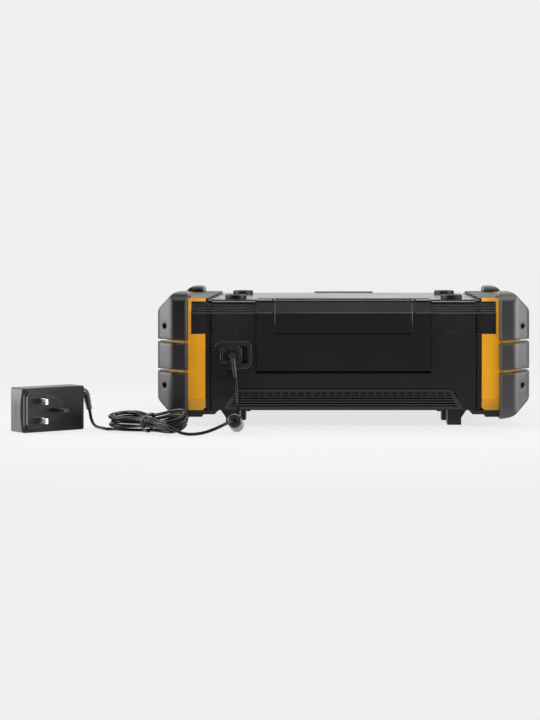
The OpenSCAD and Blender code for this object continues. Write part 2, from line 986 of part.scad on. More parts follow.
module display_window() {
    color("#0c1418")
    along(console_y, console_y + 2)
        translate([0, display_z])
            rounded(display_size, 3);
}

module display_module() {
    color("#39414a")
    along(console_back_y, board_y)
        translate([0, display_z])
            square(display_size - [2, 0], center = true);
}

module control_board() {
    color("#1f5a37") {
        difference() {
            box([-68, 68], [board_y, board_y + board_thick], [30, 114]);
            bar_y_axis([0, knob_z], -far, 0, 3.4);
            for (p = control_posts)
                bar_y_axis(p, -far, 0, screw_r + pin_gap);
        }
    }
    // Tact switches behind the buttons
    color("#c9c9c6")
    for (x = [-1, 1], z = button_rows)
        box([x * button_x - 3, x * button_x + 3],
            [console_back_y + 0.2 + button_flange + button_travel + 0.3, board_y],
            [z - 3, z + 3]);
}

module encoder() {
    color("#8c9094")
    difference() {
        box([-6.5, 6.5], [console_back_y + 0.1, board_y], [knob_z - 6.5, knob_z + 6.5]);
        bar_y_axis([0, knob_z], -far, 0, shaft_r + run_gap);
    }
}

module encoder_shaft() {
    color("#b8babc")
    bar_y_axis([0, knob_z], -rear_y - 4.4, board_y + 0.8, shaft_r);
}

module volume_knob() {
    face_y = -rear_y - 5;
    color("#29292b")
    difference() {
        union() {
            bar_y_axis([0, knob_z], face_y, console_y - 0.5, knob_d / 2 - 1.5);
            bar_y_axis([0, knob_z], console_y - 3.5, console_y - 0.5, knob_d / 2);
            // Grip ribs round the rim
            for (a = [0 : 15 : 345])
                translate([0, 0, knob_z])
                    rotate([0, a, 0])
                        box([knob_d / 2 - 3, knob_d / 2 - 0.5], [face_y + 1, console_y - 1], [-1, 1]);
        }
        bar_y_axis([0, knob_z], face_y + 0.5, 0, shaft_r + pin_gap);
        bar_y_axis([0, knob_z], -far, face_y + 0.8 - 0.5, knob_d / 2 - 6);
        // Pointer line
        box([-0.7, 0.7], [-far, face_y + 0.6], [knob_z + knob_d / 2 - 8, knob_z + knob_d / 2 - 2]);
    }
}

module push_button(side, row) {
    color("#3b3b3e") {
        along(button_cap_y, console_back_y + 0.2 + button_flange)
            translate([side * button_x, button_rows[row]])
                rounded(button_size, 3);
        along(console_back_y + 0.2, console_back_y + 0.2 + button_flange)
            translate([side * button_x, button_rows[row]])
                rounded(button_size + [2.6, 2.6], 3);
    }
}

module button_power() {
    push_button(-1, 0);
}

module button_source() {
    push_button(-1, 1);
}

module button_clock() {
    push_button(-1, 2);
}

module button_up() {
    push_button(1, 0);
}

module button_down() {
    push_button(1, 1);
}

module button_memory() {
    push_button(1, 2);
}

// ---------- Inside ----------

module main_board() {
    color("#1f5a37")
        difference() {
            box([-60, 60], [-70, 20], [board_seat_z, board_seat_z + board_thick]);
            board_places()
                cylinder(r = screw_r + pin_gap, h = 8, center = true);
        }
    color("#4a4c50") {
        box([-30, 30], [-50, -20], [board_seat_z + board_thick, board_seat_z + 14]);
        for (x = [-40, -24, 24, 40])
            translate([x, 4, board_seat_z + board_thick])
                cylinder(r = 5, h = 16);
    }
}

module woofer() {
    flange_y = -rear_y + 4.5;
    color("#2a2a2c")
    translate([front_grille_x, flange_y, front_grille_z])
        rotate([-90, 0, 0])
            rotate_extrude()
                polygon([
                    [woofer_r, 0], [woofer_r, 2.5], [woofer_r - 4, 2.5], [17, 24], [23, 24], [23, 40],
                    [0, 40], [0, 9], [6, 10.5], [9, 13], [28, 3], [31, 1.2], [33, 1.2], [34, 0]
                ]);
}

module woofer_right() {
    woofer();
}

module woofer_left() {
    mirror([1, 0, 0]) woofer();
}

module rear_speakers() {
    centre_x = 131;
    centre_z = 125.5;
    cup_y = rear_inner_y - 0.5;
    color("#4c4c50")
    both_sides()
        difference() {
            union() {
                bar_y_axis([centre_x, centre_z], cup_y - 12, cup_y - 3.5, 14);
                // Mounting ring against the inside of the rear wall
                along(cup_y - 3.5, rear_inner_y)
                    translate([centre_x, grille_low_z + 3])
                        square([44, 3], center = true);
                along(cup_y - 3.5, cup_y - 2)
                    translate([centre_x, grille_low_z + 14])
                        square([44, 25], center = true);
            }
            bar_y_axis([centre_x, centre_z], cup_y - 9, rear_y, 11.5);
        }
}

module battery_bay() {
    inner = [bay_width, bay_z[1] - bay_z[0]];
    mid_z = (bay_z[0] + bay_z[1]) / 2;
    color("#2b2b2d")
    difference() {
        union() {
            along(bay_floor_y - bay_wall, bay_front_y)
                translate([0, mid_z])
                    square(inner + [2, 2] * bay_wall, center = true);
            box([-bay_plate_x, bay_plate_x], [bay_plate_y, bay_front_y], bay_plate_z);
            // Spacers that seat on the inside of the rear wall
            both_sides()
                box([door_x + 1.2, bay_plate_x], [bay_front_y - 1, rear_inner_y],
                    [split_z + 1.5, bay_plate_z[1] - 3]);
            // Rim that the seal sits on
            along(bay_front_y - 1, seal_y)
                translate([0, mid_z])
                    square(inner + [6, 5], center = true);
            hinge_ears();
        }
        along(bay_floor_y, far)
            translate([0, mid_z])
                square(inner, center = true);
        both_sides()
            bar_x_axis([hinge_y, hinge_z], ear_x[0] - 1, ear_x[3] + 1, hinge_pin_r + pin_gap);
    }
}

module hinge_ears() {
    both_sides()
        for (x = [ear_x[0], ear_x[2]])
            translate([x, 0, 0]) {
                bar_x_axis([hinge_y, hinge_z], 0, 4, ear_r);
                box([0, 4], [bay_front_y - 1, hinge_y], [hinge_z - 1.4, hinge_z + 1.2]);
            }
}

module door_hinge_pins() {
    color("#b4b6b8")
    both_sides()
        bar_x_axis([hinge_y, hinge_z], ear_x[0], ear_x[3], hinge_pin_r);
}

module battery_terminals() {
    shoe = [70, 40];
    color("#1b1b1c")
        difference() {
            box([-shoe[0] / 2, shoe[0] / 2], [bay_floor_y, bay_floor_y + shoe[1]],
                [bay_z[0], bay_z[0] + 9]);
            for (x = [-1, 1])
                box([x * 22 - 7, x * 22 + 7], [bay_floor_y + 9, bay_floor_y + shoe[1] + 1],
                    [bay_z[0] + 4, bay_z[0] + 10]);
        }
    color("#c8a860")
        for (x = [-12, -4, 4, 12])
            box([x - 0.6, x + 0.6], [bay_floor_y + 8, bay_floor_y + 28],
                [bay_z[0] + 9, bay_z[0] + 15]);
}

module battery_door() {
    inner_t = door_thick - door_proud;
    recess_t = -1.2;
    color("#212122")
    difference() {
        union() {
            difference() {
                intersection() {
                    across(-door_x, door_x, section(-door_proud));
                    box([-far, far], [door_edge_y, far], [door_low_z, door_high_z]);
                }
                across(-door_x - 1, door_x + 1, section(inner_t));
            }
            // Stiffening ribs that dip into the bay
            for (x = [-72 : 36 : 72])
                box([x - 1, x + 1], [seal_y + 0.5, rear_y - inner_t + 1],
                    [bay_z[0] + 5, bay_z[1] - 5]);
            // Knuckles between the hinge ears
            both_sides()
                bar_x_axis([hinge_y, hinge_z], ear_x[1] + 0.2, ear_x[2] - 0.2, ear_r);
        }
        // Seat of the latch flap
        intersection() {
            box([-flap_x - 0.4, flap_x + 0.4], [0, far], [flap_low_z - 1.2, far]);
            outside_section([-far, far], [0, far], recess_t);
        }
        box([-flap_x - 0.4, flap_x + 0.4], [rear_y + 0.4, far], [flap_low_z - 1.2, flap_pivot_z + 2]);
        both_sides()
            bar_x_axis([flap_pivot_y, flap_pivot_z], flap_x - 1, flap_x + 3.8, trunnion_r + run_gap);
        box([-tooth_half - 0.8, tooth_half + 0.8], [0, far], [tooth_z[0] - 1, 148]);
        // Room for the hinge ears
        both_sides()
            for (x = [ear_x[0], ear_x[2]]) {
                bar_x_axis([hinge_y, hinge_z], x - 0.4, x + 4.4, ear_r + 0.3);
                box([x - 0.4, x + 4.4], [0, hinge_y], [0, hinge_z + ear_r + 0.3]);
                box([x - 0.4, x + 4.4], [0, hinge_y + ear_r + 0.3], [0, hinge_z]);
            }
        both_sides()
            bar_x_axis([hinge_y, hinge_z], ear_x[0] - 1, ear_x[3] + 1, hinge_pin_r + run_gap);
    }
}

module door_latch() {
    inner_t = -1.5;
    outer_t = -3.9;
    color("#252526") {
        difference() {
            intersection() {
                across(-flap_x, flap_x, section(outer_t));
                box([-far, far], [door_edge_y + 1.2, far], [flap_low_z, door_high_z]);
            }
            across(-flap_x - 1, flap_x + 1, section(inner_t));
        }
        // Catch that hooks behind the wall under the deck
        across(-tooth_half, tooth_half, [
            [tooth_tip_y, tooth_z[0] - 0.8], [tooth_tip_y + 1.6, tooth_z[0] - 0.8],
            [tooth_tip_y + 1.6, tooth_z[0]], [rear_y - 1.7, tooth_z[0]],
            [rear_y - 1.7, tooth_z[1]], [tooth_tip_y + 1.6, tooth_z[1]],
            [tooth_tip_y, tooth_z[1] - 0.8]
        ]);
        both_sides()
            bar_x_axis([flap_pivot_y, flap_pivot_z], flap_x - 1, flap_x + 3.4, trunnion_r);
    }
}

module door_seal() {
    mid_z = (bay_z[0] + bay_z[1]) / 2;
    inner = [bay_width, bay_z[1] - bay_z[0]];
    color("#101010")
    along(seal_y, seal_y + seal_thick)
        translate([0, mid_z])
            difference() {
                square(inner + [6, 5], center = true);
                square(inner + [1, 1], center = true);
            }
}

// ---------- Power port ----------

module port_hole_cut() {
    along(rear_inner_y - 12, far)
        translate(port_centre)
            rounded(port_hole + [2, 2] * (port_wall + fit_gap), 4);
}

module port_bezel() {
    color("#1f1f20")
    difference() {
        union() {
            along(rear_y, rear_y + port_plate_rise)
                translate(port_centre)
                    rounded(port_plate, 8);
            along(port_floor_y - 2.5, rear_y + 0.1)
                translate(port_centre)
                    rounded(port_hole + [2, 2] * port_wall, 4);
        }
        along(port_floor_y, far)
            translate(port_centre)
                rounded(port_hole, 3);
    }
}

module dc_socket() {
    color("#1b1b1c")
    difference() {
        union() {
            along(port_floor_y, socket_face_y - 1)
                translate(socket_centre)
                    rounded(socket_size, 3);
            along(port_floor_y, socket_face_y)
                translate(socket_centre)
                    rounded(socket_size - [5, 5], 2.5);
            bar_y_axis(peg, socket_face_y - 2, cover_y + cover_thick + 0.3, peg_r);
            bar_y_axis(peg, cover_y + cover_thick + 0.2, cover_y + cover_thick + 1.1, peg_r + 1);
        }
        bar_y_axis(jack, socket_face_y - 10, far, jack_r + run_gap);
    }
    color("#c9c9c6")
        bar_y_axis(jack, socket_face_y - 11, socket_face_y - 2, 0.9);
}

module port_cover() {
    color("#161617")
    translate([peg[0], 0, peg[1]])
        rotate([0, 4, 0])
            difference() {
                union() {
                    along(cover_y, cover_y + cover_thick)
                        translate([4.3, -12.8])
                            rounded([18, 34], 3.5);
                    // Raised lip and finger ribs on the outer side
                    along(cover_y + 1, cover_y + cover_thick + 0.6)
                        translate([4.3, -16.5])
                            difference() {
                                rounded([15, 23], 2.5);
                                rounded([12.6, 20.6], 1.6);
                            }
                    for (z = [-22, -19.5])
                        box([0, 8.6], [cover_y + 1, cover_y + cover_thick + 0.5], [z - 0.5, z + 0.5]);
                }
                bar_y_axis([0, 0], 0, far, peg_r + run_gap);
            }
}

// ---------- Carry handle ----------

module carry_handle() {
    arm_z = handle_pivot[1];
    color("#1c1c1d")
    difference() {
        union() {
            along(bar_y[0], bar_y[1])
                translate([0, (bar_z[0] + bar_z[1]) / 2])
                    rounded([2 * arm_x[1], bar_z[1] - bar_z[0]], 4);
            both_sides() {
                box(arm_x, [bar_y[0] + 4, handle_pivot[0]], [arm_z - 6, arm_z + 6]);
                bar_x_axis(handle_pivot, arm_x[0], arm_x[1], 7);
            }
        }
        // Narrow middle that the grip sleeve fits on
        difference() {
            box([-grip_width / 2, grip_width / 2], [-far, 0], [0, far]);
            box([-far, far], [bar_y[0] + 3, bar_y[1] - 3], [bar_z[0] + 3, bar_z[1] - 3]);
        }
        both_sides()
            bar_x_axis(handle_pivot, arm_x[0] - 1, arm_x[1] + 1, handle_pin_r + run_gap);
    }
}

module handle_grip() {
    mid_y = (grip_y[0] + grip_y[1]) / 2;
    color("#0f0f10")
    difference() {
        across(-grip_width / 2, grip_width / 2, [
            [grip_y[0] + 3, bar_z[0] - 1.5], [grip_y[1] - 3, bar_z[0] - 1.5],
            [grip_y[1], bar_z[0] + 1.5], [grip_y[1], bar_z[1] - 1.5],
            [mid_y + 8, grip_top_z - 1], [mid_y + 3, grip_top_z], [mid_y - 3, grip_top_z],
            [mid_y - 8, grip_top_z - 1], [grip_y[0], bar_z[1] - 1.5], [grip_y[0], bar_z[0] + 1.5]
        ]);
        box([-far, far], [bar_y[0] + 3, bar_y[1] - 3], [bar_z[0] + 3, bar_z[1] - 3]);
        // Grip grooves under the sleeve
        for (x = [-30 : 10 : 30])
            box([x - 1.5, x + 1.5], [-far, 0], [0, bar_z[0] - 0.5]);
    }
}

module handle_pins() {
    color("#b4b6b8")
    both_sides()
        bar_x_axis(handle_pivot, arm_x[0] - 0.5, well_x + 6, handle_pin_r);
}

// ---------- Cord set ----------

function unit(v) = v / norm(v);
function direction(path, i) = unit(
    path[min(i + 1, len(path) - 1)] - path[max(i - 1, 0)]
);

// Side vector carried along a path, turned as little as each bend allows
function carry(path, i, side) = let (
        t = direction(path, i),
        s = side - (side * t) * t
    ) unit(s);
function sides(path, i, side) = i == len(path) ? [] : let (
        s = carry(path, i, side)
    ) concat([s], sides(path, i + 1, s));

// A tube along a path, one closed skin
module tube(path, radii, faces, first_side) {
    side = sides(path, 0, first_side);
    count = len(path);
    points = [
        for (i = [0 : count - 1])
            let (t = direction(path, i), u = side[i], v = cross(t, u))
                for (k = [0 : faces - 1])
                    let (a = 360 * (k + 0.5) / faces)
                        path[i] + radii[i] * (cos(a) * u + sin(a) * v)
    ];
    skin = [
        for (i = [0 : count - 2], k = [0 : faces - 1])
            let (a = i * faces + k, b = i * faces + (k + 1) % faces)
                each [[a, a + faces, b], [b, a + faces, b + faces]]
    ];
    caps = [
        for (k = [1 : faces - 2])
            each [[0, k, k + 1], [(count - 1) * faces, (count - 1) * faces + k + 1,
                (count - 1) * faces + k]]
    ];
    polyhedron(points, concat(skin, caps), convexity = 10);
}

module plain_tube(path, faces) {
    tube(path, [for (p = path) cord_d / 2], faces, [0, 0, 1] + [0.3, 0.1, 0]);
}

// Radius of the hank's turns at a place along it, counted in runs
hank_outer_r = hank_inner_r + 1.5 * hank_step;
function hank_r(t) =
    t <= reverse_runs[0] ? hank_outer_r - (t - 1) * hank_step / 2
    : t <= reverse_runs[1] ? hank_inner_r + (t - reverse_runs[0]) * hank_step / 2
    : t <= reverse_runs[2] ? hank_outer_r - (t - reverse_runs[1]) * hank_step / 2
    : hank_inner_r + (t - reverse_runs[2]) * hank_step / 2;

// Layer at that place, from the top layer at 1.5 to the lowest at -1.5
function eased(x) = let (c = min(1, max(0, x))) c * c * (3 - 2 * c);
function hank_level(t) = 1.5 - (
    eased((t - reverse_runs[0] + run_share / 2) / run_share)
    + eased((t - reverse_runs[1] + run_share / 2) / run_share)
    + eased((t - reverse_runs[2] + run_share / 2) / run_share)
);
function waist(u) = (1 - cos(360 * u / hank_run_length)) / 2;

// From length along, offset across and level to a place in the radio's frame
function hank_place(u, v, level) = let (
        f = min(1, max(0, u / hank_run_length)),
        turn = hank_twist[0] + (hank_twist[1] - hank_twist[0]) * f,
        w = level * hank_layer,
        across_v = v * cos(turn) + w * sin(turn),
        z = hank_centre_z[0] + (hank_centre_z[1] - hank_centre_z[0]) * f
            - hank_dip * (1 - cos(360 * f)) / 2 + w * cos(turn) - v * sin(turn)
    ) [
        hank_start[0] + u * cos(hank_bearing) + across_v * sin(hank_bearing),
        hank_start[1] + u * sin(hank_bearing) - across_v * cos(hank_bearing),
        z
    ];
function hank_run_point(i, f) = let (
        t = i - run_share / 2 + run_share * f,
        odd = i % 2,
        u = odd == 1 ? hank_run_length * (1 - f) : hank_run_length * f,
        v = (odd == 1 ? 1 : -1) * (hank_r(t) - hank_squeeze * waist(u))
    ) hank_place(u, v, hank_level(t));
function hank_fold_point(i, f) = let (
        t = i + run_share / 2 + (1 - run_share) * f,
        odd = i % 2,
        r = hank_r(t),
        u = odd == 1 ? -r * sin(180 * f) : hank_run_length + r * sin(180 * f)
    ) hank_place(u, (odd == 1 ? 1 : -1) * r * cos(180 * f), hank_level(t));
hank_path = [
    for (i = [1 : hank_runs])
        each concat(
            [for (k = [0 : run_steps - 1]) hank_run_point(i, k / run_steps)],
            i < hank_runs
                ? [for (k = [0 : fold_steps - 1]) hank_fold_point(i, k / fold_steps)]
                : [hank_run_point(i, 1)]
        )
];
hank_entry = hank_path[0];
hank_exit = hank_path[len(hank_path) - 1];
// Straight stretches where the free cord meets the hank
straight = 4;
before_entry = hank_entry - straight * direction(hank_path, 0);
after_exit = hank_exit + straight * direction(hank_path, len(hank_path) - 1);

// Least distance between two stretches of the hank that aren't neighbours, less a cord
function segment_gap(a, b, c, d) = let (
        steps = 4
    ) min([
        for (i = [0 : steps], j = [0 : steps])
            norm((a + (b - a) * i / steps) - (c + (d - c) * j / steps))
    ]);
hank_least_gap = min([
    for (i = [0 : len(hank_path) - 6], j = [i + 4 : len(hank_path) - 2])
        segment_gap(hank_path[i], hank_path[i + 1], hank_path[j], hank_path[j + 1])
]) - cord_d;
hank_length = [
    for (i = 0, s = 0; i < len(hank_path); i = i + 1,
        s = i < len(hank_path) ? s + norm(hank_path[i] - hank_path[i - 1]) : s) s
];
echo(hank_gap = hank_least_gap, hank_cord = hank_length[len(hank_path) - 1],
    entry = hank_entry, exit = hank_exit);

module dc_plug() {
    arm_end = port_lead_points[0];
    arm_start = [jack[0], arm_end[1], jack[1]];
    arm = arm_end - arm_start;
    lean = atan2(-arm[0], -arm[2]);
    color("#151516")
    difference() {
        union() {
            bar_y_axis(jack, socket_face_y + 0.3, arm_end[1] + 4, 4);
            translate(arm_start)
                rotate([180, 0, 0])
                    rotate([0, -lean, 0]) {
                        cylinder(r1 = 3.5, r2 = 2.3, h = norm(arm));
                        // Bend relief ribs
                        for (s = [11 : 3 : 23])
                            translate([0, 0, s])
                                cylinder(r = 3.3 - s * 0.03, h = 1.4);
                    }
        }
        bar_y_axis(jack, socket_face_y - 12, socket_face_y, 1.15);
    }
    color("#b4b6b8")
        difference() {
            bar_y_axis(jack, socket_face_y - 9.3, socket_face_y + 0.5, jack_r);
            bar_y_axis(jack, socket_face_y - 12, socket_face_y, 1.15);
        }
}

module cord_port_lead() {
    color("#101011")
        plain_tube(concat(port_lead_points, [before_entry, hank_entry]), 8);
}

module ferrite_core() {
    edge = 1.5;
    color("#1a1a1c")
    translate(ferrite_centre)
        rotate([0, 0, ferrite_yaw])
            rotate([-90 + ferrite_tilt, 0, 0])
                translate([0, 0, -ferrite_length / 2])
                    rotate_extrude()
                        polygon([
                            [ferrite_bore_r, 0], [ferrite_r - edge, 0], [ferrite_r, edge],
                            [ferrite_r, ferrite_length - edge], [ferrite_r - edge, ferrite_length],
                            [ferrite_bore_r, ferrite_length]
                        ]);
}

module cord_hank() {
    color("#141415")
        tube(hank_path, [for (p = hank_path) cord_d / 2], 6, [0, 0, 1]);
}

// Cord sections where the hank is narrowest, each drawn with radius r
module waist_sections(r) {
    hull()
        for (i = [1 : hank_runs])
            translate([(i % 2 == 1 ? 1 : -1) * (hank_r(i) - hank_squeeze), hank_level(i) * hank_layer])
                circle(r, $fn = 24);
}

// Flat tie round the waist of the hank
module cord_tie() {
    band = 5;
    turn = (hank_twist[0] + hank_twist[1]) / 2;
    color("#1d1d1f")
    translate([
        hank_start[0] + hank_run_length / 2 * cos(hank_bearing),
        hank_start[1] + hank_run_length / 2 * sin(hank_bearing),
        (hank_centre_z[0] + hank_centre_z[1]) / 2 - hank_dip
    ])
        rotate([0, 0, hank_bearing - 90])
            rotate([0, turn, 0])
                along(-band / 2, band / 2)
                    difference() {
                        waist_sections(cord_d / 2 + 0.9);
                        waist_sections(cord_d / 2 + 0.5);
                    }
}

module cord_adapter_lead() {
    color("#101011")
        plain_tube(concat(
            [hank_exit, after_exit], adapter_lead_points,
            [relief_end + straight * direction(relief_path, len(relief_path) - 1), relief_end]
        ), 8);
}

// Bent strain relief on the end of the adapter, local points from the case's centre
relief_local = concat(
    [[adapter_size[0] / 2, 0, relief_z]],
    [
        for (a = [0 : 22.5 : 90])
            [adapter_size[0] / 2 + 2 + relief_bend * sin(a), 0, relief_z - relief_bend * (1 - cos(a))]
    ],
    [
        for (k = [1 : 3])
            [adapter_size[0] / 2 + 2 + relief_bend + k * relief_step[0], 0,
                relief_z - relief_bend - k * relief_step[1]]
    ]
);
function turned(p) = [
    adapter_place[0] + p[0] * cos(adapter_turn) - p[1] * sin(adapter_turn),
    adapter_place[1] + p[0] * sin(adapter_turn) + p[1] * cos(adapter_turn),
    adapter_place[2] + p[2]
];
relief_path = [for (p = relief_local) turned(p)];
relief_end = relief_path[len(relief_path) - 1];

module adapter_relief() {
    last = len(relief_path) - 1;
    color("#151516")
        tube(relief_path, [for (i = [0 : last]) 4.2 - 1.9 * i / last], 12, [0.3, 0.1, 1]);
}

module adapter_frame() {
    translate(adapter_place)
        rotate([0, 0, adapter_turn])
            children();
}

module adapter_case() {
    size = adapter_size;
    front_y = -size[1] / 2;
    color("#2e2e30")
    adapter_frame()
        difference() {
            union() {
                intersection() {
                    along(front_y, size[1] / 2)
                        intersection() {
                            rounded([size[0], size[2]], 4);
                            translate([adapter_bow_r - size[0] / 2, 0])
                                circle(adapter_bow_r, $fn = 200);
                        }
                    translate([0, 0, -size[2] / 2])
                        linear_extrude(size[2])
                            rounded([size[0], size[1]], 5);
                }
                // Plug block, wide at the live pins and narrow at the earth pin
                along(front_y - plug_block_rise, front_y + 1)
                    polygon([
                        [-38, -16], [-38, 16], [-34, 21], [-19, 21], [-13, 16], [0, 13], [5, 8],
                        [9, 6], [9, -6], [5, -8], [0, -13], [-13, -16], [-19, -21], [-34, -21]
                    ]);
                along(front_y - 2, front_y + 1)
                    polygon([
                        [-39.5, -18], [-39.5, 18], [-35, 23], [-18, 23], [-12, 18], [1, 14.7], [6, 9.7],
                        [11, 7.5], [11, -7.5], [6, -9.7], [1, -14.7], [-12, -18], [-18, -23], [-35, -23]
                    ]);
            }
            // Joint line round the case
            difference() {
                box([-far, far], [-1.3, -0.7], [-far, far]);
                box([-size[0] / 2 + 0.5, size[0] / 2 - 0.5], [-far, far],
                    [-size[2] / 2 + 0.5, size[2] / 2 - 0.5]);
            }
        }
}

module adapter_pins() {
    base_y = -adapter_size[1] / 2 - plug_block_rise;
    adapter_frame()
        for (s = [-1, 1])
            translate([live_pin_x, 0, s * pin_spacing / 2]) {
                color("#1a1a1b") box([-2, 2], [base_y - 9.5, base_y], [-3.17, 3.17]);
                color("#c8c9cb") {
                    box([-1.9, 1.9], [base_y - 16.7, base_y - 9.5], [-3.07, 3.07]);
                    box([-1.2, 1.2], [base_y - 17.7, base_y - 16.7], [-2.4, 2.4]);
                }
            }
}

module adapter_earth_pin() {
    base_y = -adapter_size[1] / 2 - plug_block_rise;
    color("#1a1a1b")
    adapter_frame()
        translate([live_pin_x + pin_spacing, 0, 0]) {
            box([-4, 4], [base_y - 21.7, base_y], [-2, 2]);
            box([-3.2, 3.2], [base_y - 22.7, base_y - 21.7], [-1.3, 1.3]);
        }
}

lower_housing();
upper_housing();
front_fascia();
end_bands();
end_frame_left();
end_frame_right();
bumper_front_left();
bumper_front_right();
bumper_rear_left();
bumper_rear_right();
case_screws();
base_rails();
feet();
top_studs();
rear_grille_left();
rear_grille_right();
vent_grille();
front_grille_left();
front_grille_right();
battery_bay();
battery_terminals();
battery_door();
door_hinge_pins();
door_latch();
door_seal();
port_bezel();
dc_socket();
port_cover();
display_window();
display_module();
control_board();
encoder();
encoder_shaft();
volume_knob();
button_power();
button_source();
button_clock();
button_up();
button_down();
button_memory();
main_board();
woofer_left();
woofer_right();
rear_speakers();
carry_handle();
handle_grip();
handle_pins();
side_latch_left();
side_latch_right();
side_latch_pins();
dc_plug();
cord_port_lead();
ferrite_core();
cord_hank();
cord_tie();
cord_adapter_lead();
adapter_relief();
adapter_case();
adapter_pins();
adapter_earth_pin();
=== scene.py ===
"""Looks of the stackable jobsite radio: materials, cord set, fine pieces, camera and stage."""

import math
from types import SimpleNamespace

import bpy
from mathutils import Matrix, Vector


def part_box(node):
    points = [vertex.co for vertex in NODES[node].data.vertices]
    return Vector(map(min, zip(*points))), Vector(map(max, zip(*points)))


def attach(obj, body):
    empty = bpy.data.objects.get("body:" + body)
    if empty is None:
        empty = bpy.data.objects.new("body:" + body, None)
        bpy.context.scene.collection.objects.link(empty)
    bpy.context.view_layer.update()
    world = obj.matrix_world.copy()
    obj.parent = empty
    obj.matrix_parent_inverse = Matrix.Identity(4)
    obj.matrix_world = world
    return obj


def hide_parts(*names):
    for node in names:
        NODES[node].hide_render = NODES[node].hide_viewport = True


bl_info = {
    "name": "Jobsite radio",
    "version": (1, 0, 0),
    "blender": (4, 5, 0),
    "location": "3D View > Sidebar > Radio",
    "description": "Dresses the CAD model of a jobsite radio",
    "category": "Object",
}

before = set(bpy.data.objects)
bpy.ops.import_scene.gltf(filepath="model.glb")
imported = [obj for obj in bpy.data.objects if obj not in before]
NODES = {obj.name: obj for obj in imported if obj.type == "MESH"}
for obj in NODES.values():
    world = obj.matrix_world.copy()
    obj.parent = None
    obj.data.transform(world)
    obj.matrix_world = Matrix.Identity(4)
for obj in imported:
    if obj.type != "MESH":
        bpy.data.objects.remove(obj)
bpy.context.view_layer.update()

# Sizes shared with the CAD source, in metres
REAR_Y = 0.1595
CORD_R = 0.0019
CORD_SEEN = 0.97  # keeps the drawn cord inside the CAD cord
MM = 1000.0  # millimetres in a metre

# Shared by the materials
EDGE_SAMPLES = 4
DUST = (0.20, 0.19, 0.175, 1.0)

LIGHT_TARGET = Vector((0.0, 0.1, 0.08))
FLOOR_DROP = 0.0002  # the floor lies this far under the feet

# Edges of CAD meshes that bend by more than these are kept sharp, or rounded
SHARP_ANGLE = math.radians(24.0)
ROUNDED_ANGLE = math.radians(28.0)


# ---------- Node trees ----------


class Graph:
    """Short way to add nodes to a tree and wire them."""

    def __init__(self, tree):
        self.tree = tree

    def add(self, kind, settings=None, **inputs):
        node = self.tree.nodes.new("ShaderNode" + kind)
        for key, value in (settings or {}).items():
            setattr(node, key, value)
        for key, value in inputs.items():
            self.put(node.inputs[key.replace("_", " ")], value)
        return node

    def put(self, socket, value):
        if isinstance(value, bpy.types.NodeSocket):
            self.tree.links.new(value, socket)
        elif isinstance(value, bpy.types.Node):
            self.tree.links.new(value.outputs[0], socket)
        else:
            socket.default_value = value

    def surface(self, **inputs):
        """Fills inputs of the material's Principled BSDF."""
        shader = self.tree.nodes["Principled BSDF"]
        for key, value in inputs.items():
            self.put(shader.inputs[key.replace("_", " ")], value)

    def math(self, operation, a, b):
        node = self.add("Math", {"operation": operation})
        self.put(node.inputs[0], a)
        self.put(node.inputs[1], b)
        return node.outputs[0]

    def span(self, value, low, high, to_low=0.0, to_high=1.0):
        node = self.add("MapRange")
        for socket, item in zip(node.inputs, (value, low, high, to_low, to_high)):
            self.put(socket, item)
        return node.outputs[0]

    def blend(self, factor, a, b):
        node = self.add("Mix", {"data_type": "RGBA"}, Factor=factor)
        self.put(node.inputs[6], a)
        self.put(node.inputs[7], b)
        return node.outputs[2]

    def mix_out(self, output, share, first, second):
        """Mixes two shaders into an output node."""
        mix = self.add("MixShader")
        for socket, source in zip(mix.inputs, (share, first, second)):
            self.put(socket, source)
        self.put(self.tree.nodes[output].inputs[0], mix)

    def place(self):
        """Object coordinates."""
        return self.add("TexCoord").outputs["Object"]

    def axis(self, vector, number):
        return self.add("SeparateXYZ", Vector=vector).outputs[number]

    def facing(self, number):
        """How much a face looks along axis 0, 1 or 2."""
        return self.axis(self.add("NewGeometry").outputs["Normal"], number)

    def noise(self, vector, scale, detail, seed=None, **inputs):
        """Value of a noise, which a seed makes one of many."""
        dimensions = "3D" if seed is None else "4D"
        node = self.add("TexNoise", {"noise_dimensions": dimensions}, Vector=vector, Scale=scale,
                        Detail=detail, **inputs)
        if seed is not None:
            self.put(node.inputs["W"], seed)
        return node.outputs[0]


def new_group(name, inputs, *outputs):
    """Empty node group: its graph, the sockets it is given and the ones it fills."""
    group = bpy.data.node_groups.new(name, "ShaderNodeTree")
    for key, value in inputs.items():
        socket = group.interface.new_socket(key, in_out="INPUT", socket_type="NodeSocketFloat")
        socket.default_value = value
    for key in outputs:
        kind = "NodeSocketVector" if key == "Normal" else "NodeSocketFloat"
        group.interface.new_socket(key, in_out="OUTPUT", socket_type=kind)
    given = group.nodes.new("NodeGroupInput").outputs
    return Graph(group), given, group.nodes.new("NodeGroupOutput").inputs


def make_grain_group():
    """Moulded grain over softly rounded edges."""
    g, given, out = new_group(
        "Moulded grain", {"Scale": 2500.0, "Depth": 0.00006, "Rounding": 0.0005}, "Normal")
    place = g.place()
    fine = g.add("TexVoronoi", {"feature": "SMOOTH_F1"}, Vector=place, Scale=given["Scale"])
    broad = g.noise(place, g.math("MULTIPLY", given["Scale"], 0.11), 3.0)
    height = g.math("ADD", fine.outputs["Distance"], g.math("MULTIPLY", broad, 0.6))
    edge = g.add("Bevel", {"samples": EDGE_SAMPLES}, Radius=given["Rounding"])
    g.put(out["Normal"], g.add("Bump", Strength=0.9, Distance=given["Depth"], Height=height,
                               Normal=edge))


